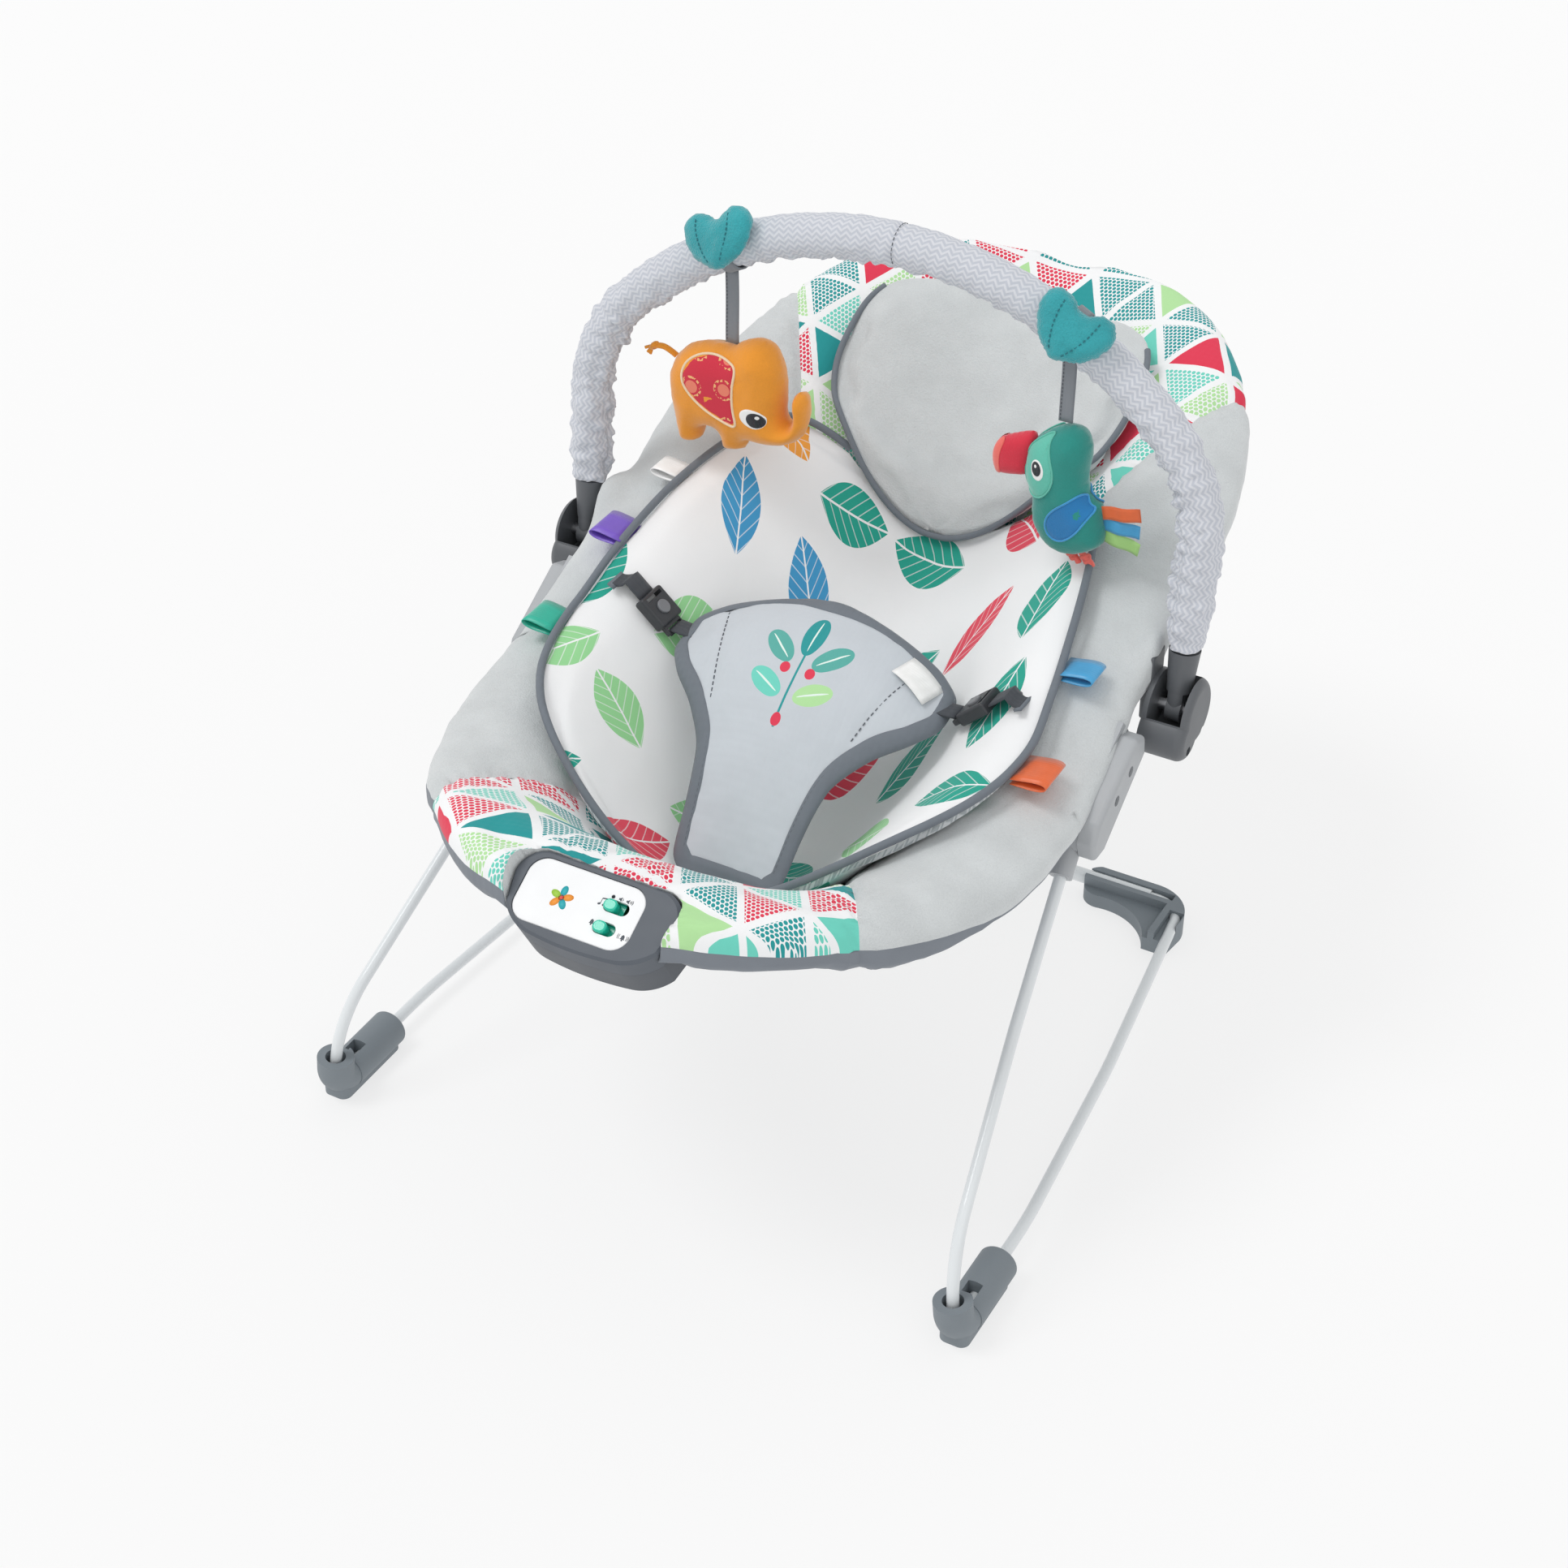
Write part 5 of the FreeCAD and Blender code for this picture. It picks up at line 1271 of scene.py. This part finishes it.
class PlushShape:
    """A toy sewn from two mirrored cloth outlines and stuffed. Outlines are millimetres in the toy's own
    XZ plane; place takes them to the row frame."""

    def __init__(self, outline, depth, soft, place):
        self.outline = np.array(corner_cut(outline))
        self.depth, self.soft, self.place = depth, soft, place

    def inset(self, x, z):
        """Distance in from the outline, 0 outside."""
        a = self.outline
        b = np.roll(a, -1, 0)
        p = np.array((x, z))
        span = b - a
        t = np.clip(((p - a) * span).sum(1) / (span ** 2).sum(1), 0, 1)
        near = np.hypot(*(p - a - span * t[:, None]).T).min()
        at_height = (b[:, 0] - a[:, 0]) * (z - a[:, 1]) / (b[:, 1] - a[:, 1] + 1e-12) + a[:, 0]
        crossing = ((a[:, 1] > z) != (b[:, 1] > z)) & (x < at_height)
        return near if crossing.sum() % 2 else 0.0

    def swell(self, x, z):
        d = min(self.inset(x, z) / self.soft, 1.0)
        return 0.9 + (self.depth - 0.9) * math.sqrt(max(0.0, 1 - (1 - d) ** 2))

    def body(self, name, material, voxel=2.0):
        mesh = bmesh.new()
        ring = [mesh.verts.new((x, -1.0, z)) for x, z in self.outline]
        face = mesh.faces.new(ring)
        made = bmesh.ops.extrude_face_region(mesh, geom=[face])
        for v in made["geom"]:
            if isinstance(v, bmesh.types.BMVert):
                v.co.y = 1.0
        bmesh.ops.recalc_face_normals(mesh, faces=mesh.faces)
        data = bpy.data.meshes.new(name)
        mesh.to_mesh(data)
        mesh.free()
        obj = remeshed(linked(name, data), voxel)
        co = coordinates(obj.data)
        for i, (x, y, z) in enumerate(co):
            co[i][1] = clamped(y, -1.0, 1.0) * self.swell(x, z)
        set_coordinates(obj, co)
        obj.data.materials.clear()
        obj.data.materials.append(material)
        smooth = obj.modifiers.new("Smooth", "SMOOTH")
        smooth.factor = 0.5
        smooth.iterations = 3
        apply_modifiers(obj)
        set_coordinates(obj, [self.place(*p) for p in coordinates(obj.data).tolist()])
        return obj

    def patch(self, name, outline, lift, material, rounds=2):
        """A flat applique following the stuffed surface, on both sides of the toy."""
        edge = corner_cut(outline, rounds) if rounds else outline
        cx, cz = np.mean(edge, axis=0)
        points, faces = [], []
        rings, n = 9, len(edge)
        for side in (-1, 1):
            base = len(points)
            points.append(self.place(cx, side * (self.swell(cx, cz) + lift), cz))
            for k in range(1, rings + 1):
                share = k / rings
                rise = lift if k < rings else -0.4
                for x, z in edge:
                    px, pz = cx + (x - cx) * share, cz + (z - cz) * share
                    points.append(self.place(px, side * (self.swell(px, pz) + rise), pz))
            first = [(base, base + 1 + j, base + 1 + (j + 1) % n) for j in range(n)]
            rest = [(base + 1 + k * n + j, base + 1 + (k + 1) * n + j, base + 1 + (k + 1) * n + (j + 1) % n,
                     base + 1 + k * n + (j + 1) % n) for k in range(rings - 1) for j in range(n)]
            made = first + rest
            faces += made if side < 0 else [f[::-1] for f in made]
        return new_object(name, points, faces, [material])

    def line(self, x, z, side, lift):
        """The point of the stuffed surface at x, z."""
        return Vector(self.place(x, side * (self.swell(x, z) + lift), z))

    def border(self, name, outline, radius, material):
        """A cord sewn along a patch's edge, on both sides of the toy."""
        edge = corner_cut(outline, 2)
        return joined(name, [tube(name, [self.line(x, z, side, 0.1) for x, z in edge], radius, material, 8,
                                  closed=True) for side in (-1, 1)])


def oval(cx, cz, a, b, turn=0.0):
    s, c = math.sin(turn), math.cos(turn)
    return [(cx + a * math.cos(t) * c - b * math.sin(t) * s, cz + a * math.cos(t) * s + b * math.sin(t) * c)
            for t in [2 * math.pi * i / 28 for i in range(28)]]


def hearts():
    half = [(8, 18), (17, 20), (25, 15), (27, 6), (23, -6), (13, -16), (2, -21)]
    outline = [(0, 11)] + half + [(-x, z) for x, z in reversed(half)]
    for word, x in (("left", -115.0), ("right", 122.0)):
        middle = bar_point(x)
        spin = Matrix.Rotation(math.asin(x / BAR_CROWN_R) * 0.9, 4, "Y")
        spin = spin @ Matrix.Rotation(-math.radians(33), 4, "X")

        def place(px, py, pz, middle=middle, spin=spin):
            return at(*(spin @ Vector((px, py - SLEEVE_R - 7.5, pz)) + middle))

        shape = PlushShape(outline, 7.5, 13, place)
        body = shape.body("plush_heart_" + word, M["plush_teal"], 1.8)
        wrinkled(body, 0.0008, 120.0, x)
        settled(body, "toy_bar", "plush_teal", *(("plush_hearts",) if x < 0 else ()))
        rows = []
        for bend in (-1, 1):
            path = []
            for t in [i / 12 for i in range(13)]:
                path.append(shape.line(bend * (13 - t * t * 9), 13 - 30 * t, -1, 0.15))
            rows.append(stitches("heart_stitch", path, 0.0018, 0.0014, 0.00045, M["thread_teal"]))
        settled(joined("heart_stitches_" + word, rows), "toy_bar", "plush_teal")


def bar_loops():
    """The grey bands round the sleeve that the toys' straps hang from."""
    bands = []
    for x in (-STRAP_X, STRAP_X):
        middle = bar_point(x)
        side = (bar_point(x + 1) - bar_point(x - 1)).normalized()
        down = (Vector((0, 0, -1)) + side * side.z).normalized()
        out = side.cross(down)
        ring = [at(*(middle + down * (math.cos(a) * 15.6) + out * (math.sin(a) * 15.6)))
                for a in [2 * math.pi * i / 36 for i in range(37)]]
        bands.append(ribbon("band", ring, 0.0095, M["ribbon"], side, 0.0011))
    settled(joined("strap_loop_bands", bands), "toy_bar", "ribbon_grey", "strap_loops")


def strap_top(x):
    return bar_point(x) - Vector((0, 0, (SLEEVE_R + 3.2) / math.cos(math.asin(abs(x) / BAR_CROWN_R))))


def hanging(side, scale, shift=0.0):
    """Takes a toy's own millimetres to the row frame, hung from the strap on that side."""
    top = strap_top(side * STRAP_X)
    hook = Vector((top.x + shift, top.y, top.z - STRAP_LEN[side] - 1.0))
    return lambda x, y, z: at(hook.x + x * scale, hook.y + y * scale, hook.z + z * scale)


def toy_straps():
    for word, side in (("left", -1), ("right", 1)):
        top = strap_top(side * STRAP_X)
        path = []
        for t in [i / 12 for i in range(13)]:
            path.append(at(top.x, top.y + 0.35 * math.sin(t * 5), top.z + 3 - (STRAP_LEN[side] + 3) * t))
        strap = ribbon("toy_strap_" + word + "_band", path, 0.0095, M["ribbon"], Vector((1, 0, 0)), 0.0012)
        edge = [p + Vector((-0.0037, -0.0008, 0)) for p in path]
        thread = stitches("strap_stitch", edge, 0.0014, 0.0012, 0.0003, M["thread_grey"])
        settled(joined("toy_strap_" + word + "_sewn", [strap, thread]), "strap_" + word, "ribbon_grey",
                "toy_strap_" + word)


def elephant():
    place = hanging(-1, 0.94)
    outline = [(0, -1), (-14, -2), (-27, -4), (-38, -10), (-46, -20), (-50, -34), (-49, -50), (-45, -66),
               (-43, -80), (-40, -85), (-28, -84), (-25, -80), (-24, -70), (-18, -68), (-8, -69), (-7, -78),
               (-5, -83), (8, -82), (12, -78), (13, -70), (24, -71), (36, -71), (48, -67), (58, -58),
               (62, -44), (61, -30), (56, -23), (50, -25), (49, -34), (51, -43), (49, -50), (44, -52),
               (42, -46), (43, -34), (43, -22), (40, -6), (33, 6), (22, 10), (10, 6)]
    shape = PlushShape(outline, 18.0, 22.0, place)
    body = shape.body("elephant_plush", M["orange"])
    wrinkled(body, 0.0005, 60.0, 2.0)
    settled(body, "elephant", "plush_orange", "elephant_toy")
    saddle = [(-31, -16), (-22, -8), (-10, -5), (4, -6), (12, -9), (9, -24), (9, -40), (13, -56),
              (2, -53), (-12, -48), (-25, -39), (-33, -28)]
    trim = [shape.patch("saddle", saddle, 0.35, M["saddle"]),
            shape.border("saddle_border", saddle, 0.0009, M["cream"])]
    trim += [shape.patch("eye", oval(25, -45, 10.5, 7.6, -0.2), 0.4, M["eye_white"], rounds=0),
             shape.patch("pupil", oval(27.5, -45.5, 7.6, 6.2, -0.2), 0.65, M["eye_dark"], rounds=0),
             shape.patch("glint", oval(29, -43, 1.8, 1.4), 0.9, M["eye_white"], rounds=0)]
    settled(joined("elephant_patches", trim), "elephant", "plush_teal")
    tail = [(-47, 2, -22), (-54, 1, -17), (-60, 0, -16), (-66, 0, -18)]
    knot = [(-64, -2, -16), (-67, 0, -20), (-64, 2.5, -19), (-62, 0, -15)]
    parts = [tube("tail", [place(*p) for p in tail], 0.0021, M["orange"], 10),
             tube("tail_knot", [place(*p) for p in knot], 0.0019, M["orange"], 10, closed=True)]
    for dx, dz in ((-4, -6), (-6, -3), (-2, -7)):
        parts.append(tube("tail_end", [place(-66, 0, -18), place(-66 + dx * 0.6, 0.5, -18 + dz * 0.6),
                                       place(-66 + dx, 0, -18 + dz)], 0.0011, M["orange"], 8))
    settled(joined("elephant_tail_cord", parts), "elephant", "plush_orange", "elephant_tail")


def bird():
    place = hanging(1, 0.95, 3.0)
    head_and_body = [(6, 1), (-5, -1), (-16, -8), (-26, -18), (-29, -32), (-28, -46), (-23, -56), (-23, -68),
                     (-22, -78), (-14, -90), (-4, -96), (8, -97), (21, -92), (33, -82), (29, -66), (27, -53),
                     (21, -53), (16, -45), (16, -32), (18, -19), (15, -5)]
    shape = PlushShape(head_and_body, 15.5, 19.0, place)
    body = shape.body("bird_plush", M["bird_teal"])
    wrinkled(body, 0.0005, 60.0, 4.0)
    settled(body, "bird", "plush_teal", "bird_toy")
    beak = PlushShape([(-20, -9), (-38, -16), (-50, -22), (-55, -34), (-51, -50), (-42, -49), (-28, -47),
                       (-24, -40)], 8.5, 12.0, place)
    settled(beak.body("bird_beak", M["red"]), "bird", "plush_teal")
    face = [(-6, -3), (-16, -10), (-25, -19), (-28, -32), (-27, -46), (-24, -54), (-14, -54), (-6, -46),
            (-3, -34), (-7, -20), (-9, -10)]
    wing = [(16, -44), (8, -50), (-4, -60), (-8, -70), (-5, -79), (4, -82), (14, -74), (22, -60), (26, -54),
            (20, -53)]
    tip = [(-43, -19), (-50, -23), (-54, -34), (-51, -49), (-45, -48), (-47, -34)]
    trim = [shape.patch("face", face, 0.3, M["bird_light"]),
            shape.border("face_line", face, 0.0006, M["bird_light"]),
            shape.patch("wing", wing, 0.3, M["bird_blue"]),
            shape.border("wing_line", wing, 0.0007, M["bird_sky"]),
            beak.patch("beak_tip", tip, 0.4, M["coral"]),
            shape.patch("eye", oval(-15.5, -32, 5.4, 8.2, 0.12), 0.6, M["eye_white"], rounds=0),
            shape.patch("pupil", oval(-16, -31, 4.0, 5.8, 0.12), 0.85, M["eye_dark"], rounds=0),
            shape.patch("glint", oval(-16.6, -29, 1.0, 1.3), 1.05, M["eye_white"], rounds=0)]
    settled(joined("bird_patches", trim), "bird", "plush_teal")
    tails = []
    for i, (look, z) in enumerate((("orange_satin", -59), ("blue_satin", -68), ("green_satin", -77))):
        path = []
        for k in range(10):
            wave = 0.9 * math.sin(k * 0.9 + i)
            path.append(place(28 + 3.0 * k, (i - 1) * 1.6 + wave, z + (1 - i) * 0.9 * k * 0.6))
        tails.append(ribbon("tail_ribbon", path, 0.0095, M[look], Vector((0, 0, 1)), 0.0006))
    legs = []
    for x in (3, 13):
        leg = [place(x + step, 0, z) for step, z in ((0, -93), (3.6, -97), (9, -100.5), (10, -103))]
        legs.append(tube("leg", leg, 0.0021, M["coral"], 10))
        knot = [place(x + 4.5 + 2.6 * math.cos(a), 2.2 * math.sin(2 * a), -98.5 + 2.4 * math.sin(a))
                for a in [2 * math.pi * k / 8 for k in range(8)]]
        legs.append(tube("leg_knot", knot, 0.0016, M["coral"], 10, closed=True))
    settled(joined("bird_tail_ribbons", tails), "bird", "satin_ribbon", "bird_ribbons")
    settled(joined("bird_legs", legs), "bird", "plush_teal")


# ---------------------------------------------------------------- control unit print
def unit_point(x, y, z):
    s, c = math.sin(UNIT_TILT), math.cos(UNIT_TILT)
    return at(x, UNIT_Y + y * c - z * s, UNIT_Z + y * s + z * c)


def decal(name, outline, material, height):
    """A thin printed mark on the unit's face."""
    cx, cy = np.mean(outline, axis=0)
    points = [unit_point(cx, cy, height)] + [unit_point(x, y, height) for x, y in outline]
    n = len(outline)
    points += [unit_point(x, y, height - 0.12) for x, y in outline]
    faces = [(0, 1 + i, 1 + (i + 1) % n) for i in range(n)]
    faces += [(1 + i, 1 + n + i, 1 + n + (i + 1) % n, 1 + (i + 1) % n) for i in range(n)]
    return new_object(name, points, faces, [material])


def stroke(points, width):
    """Closed outline round an open line."""
    left, right = [], []
    for i, (x, y) in enumerate(points):
        ax, ay = points[max(i - 1, 0)]
        bx, by = points[min(i + 1, len(points) - 1)]
        span = math.hypot(bx - ax, by - ay)
        nx, ny = -(by - ay) / span * width / 2, (bx - ax) / span * width / 2
        left.append((x + nx, y + ny))
        right.append((x - nx, y - ny))
    return left + right[::-1]


def face_marks():
    lift = frame_face_height() + 0.06
    ink = M["ink"]
    marks = []

    def mark(outline, material=ink):
        marks.append(decal("mark", outline, material, lift))

    for x in (4.4, 7.4):
        mark(oval(x - 0.7, 3.4, 0.95, 0.7, 0.3))
        mark(stroke([(x + 0.05, 3.4), (x + 0.05, 7.2)], 0.4))
    mark(stroke([(4.45, 7.2), (7.45, 7.6)], 0.8))
    mark(ring_outline(10.2, 10.2, 1.2, 0.35))
    for x, waves in ((15.5, 1), (20.5, 3)):
        horn = ((-1.4, 9.6), (-0.6, 9.6), (0.5, 8.7), (0.5, 11.7), (-0.6, 10.8), (-1.4, 10.8))
        mark([(x + dx, y) for dx, y in horn])
        for k in range(waves):
            mark(stroke([(x + 1.1 + k * 0.8, 9.3 - 0.25 * k), (x + 1.5 + k * 0.8, 10.2),
                         (x + 1.1 + k * 0.8, 11.1 + 0.25 * k)], 0.3))
    for x, y in ((5.0, -8.6), (27.5, -11.6)):
        bell = ((-1.6, -1.1), (-1.1, -0.4), (-1.0, 1.1), (0, 2.0), (1.0, 1.1), (1.1, -0.4), (1.6, -1.1))
        mark([(x + dx, y + dy) for dx, dy in bell])
        mark(oval(x, y - 1.6, 0.55, 0.5))
    for k in (-1, 1):
        for far in (2.4, 3.3):
            arc = ((far, -12.8), (far + 0.35, -11.3), (far, -9.8))
            mark(stroke([(27.5 + k * dx, y) for dx, y in arc], 0.3))
    for k, look in enumerate(("mark_orange", "mark_teal", "mark_lime", "mark_orange", "mark_teal")):
        a = 2 * math.pi * k / 5 + 0.3
        mark(oval(-20 + 4.4 * math.cos(a), -1 + 4.4 * math.sin(a), 3.5, 2.2, a), M[look])
    mark(oval(-20, -1, 1.9, 1.9), M["mark_red"])
    settled(joined("face_marks", marks), "seat", "face_white")


def ring_outline(cx, cy, r, width):
    outer = oval(cx, cy, r, r)
    inner = oval(cx, cy, r - width, r - width)
    return outer + [outer[0]] + [inner[0]] + inner[::-1]


def frame_face_height():
    """Height of the face plate's outer side above the unit's own origin, in millimetres."""
    s, c = math.sin(UNIT_TILT), math.cos(UNIT_TILT)
    co = coordinates(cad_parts["unit_face_plate"].data) * 1000
    return float(((co[:, 2] - UNIT_Z) * c - (co[:, 1] + CENTRE_Y - UNIT_Y) * s).max())


# ---------------------------------------------------------------- studio
def stage_and_light():
    floor_mesh = bpy.data.meshes.new("floor")
    reach = 60.0
    corners = [(-reach, -reach, 0), (reach, -reach, 0), (reach, reach, 0), (-reach, reach, 0)]
    floor_mesh.from_pydata(corners, [], [(0, 1, 2, 3)])
    floor = linked("floor", floor_mesh)
    n = Nodes("floor_white")
    floor_mesh.materials.append(n.finish(n.mottled([0.22, 0.22, 0.22, 1.0], 0.005, 2.0), 0.7))
    n.shader.inputs["Emission Color"].default_value = (1.0, 1.0, 1.0, 1.0)
    n.shader.inputs["Emission Strength"].default_value = 0.70
    world = bpy.data.worlds.new("studio")
    SCENE.world = world
    world.use_nodes = True
    world.node_tree.nodes["Background"].inputs[0].default_value = (1.0, 1.0, 1.0, 1.0)
    world.node_tree.nodes["Background"].inputs[1].default_value = 0.76

    def sun(name, place, strength, softness):
        light = bpy.data.lights.new(name, "SUN")
        light.energy = strength
        light.angle = math.radians(softness)
        lamp = linked(name, light)
        lamp.location = place
        lamp.rotation_euler = (-Vector(place)).to_track_quat("-Z", "Y").to_euler()

    sun("key", (-1.1, -0.7, 2.2), 0.95, 22.0)
    sun("fill", (1.9, -1.6, 2.4), 0.25, 50.0)


def camera():
    data = bpy.data.cameras.new("camera")
    data.lens = 67.09
    data.sensor_width = 36.0
    view = linked("camera", data)
    turn, rise, roll = 0.50239, 0.63133, 0.00272
    back = Vector((math.sin(turn) * math.cos(rise), -math.cos(turn) * math.cos(rise), math.sin(rise)))
    right = Vector((math.cos(turn), math.sin(turn), 0.0))
    up = back.cross(right)
    axes = Matrix((right, up, back)).transposed() @ Matrix.Rotation(roll, 3, "Z")
    view.matrix_world = Matrix.Translation((0.74101, -1.43513, 1.33658)) @ axes.to_4x4()
    SCENE.camera = view


dress_cad()
seat_cover()
body_pad()
headrest()
restraint()
loop_tags()
waist_straps()
sleeve()
hearts()
bar_loops()
toy_straps()
elephant()
bird()
face_marks()
stage_and_light()
camera()
SCENE.view_settings.view_transform = "Standard"
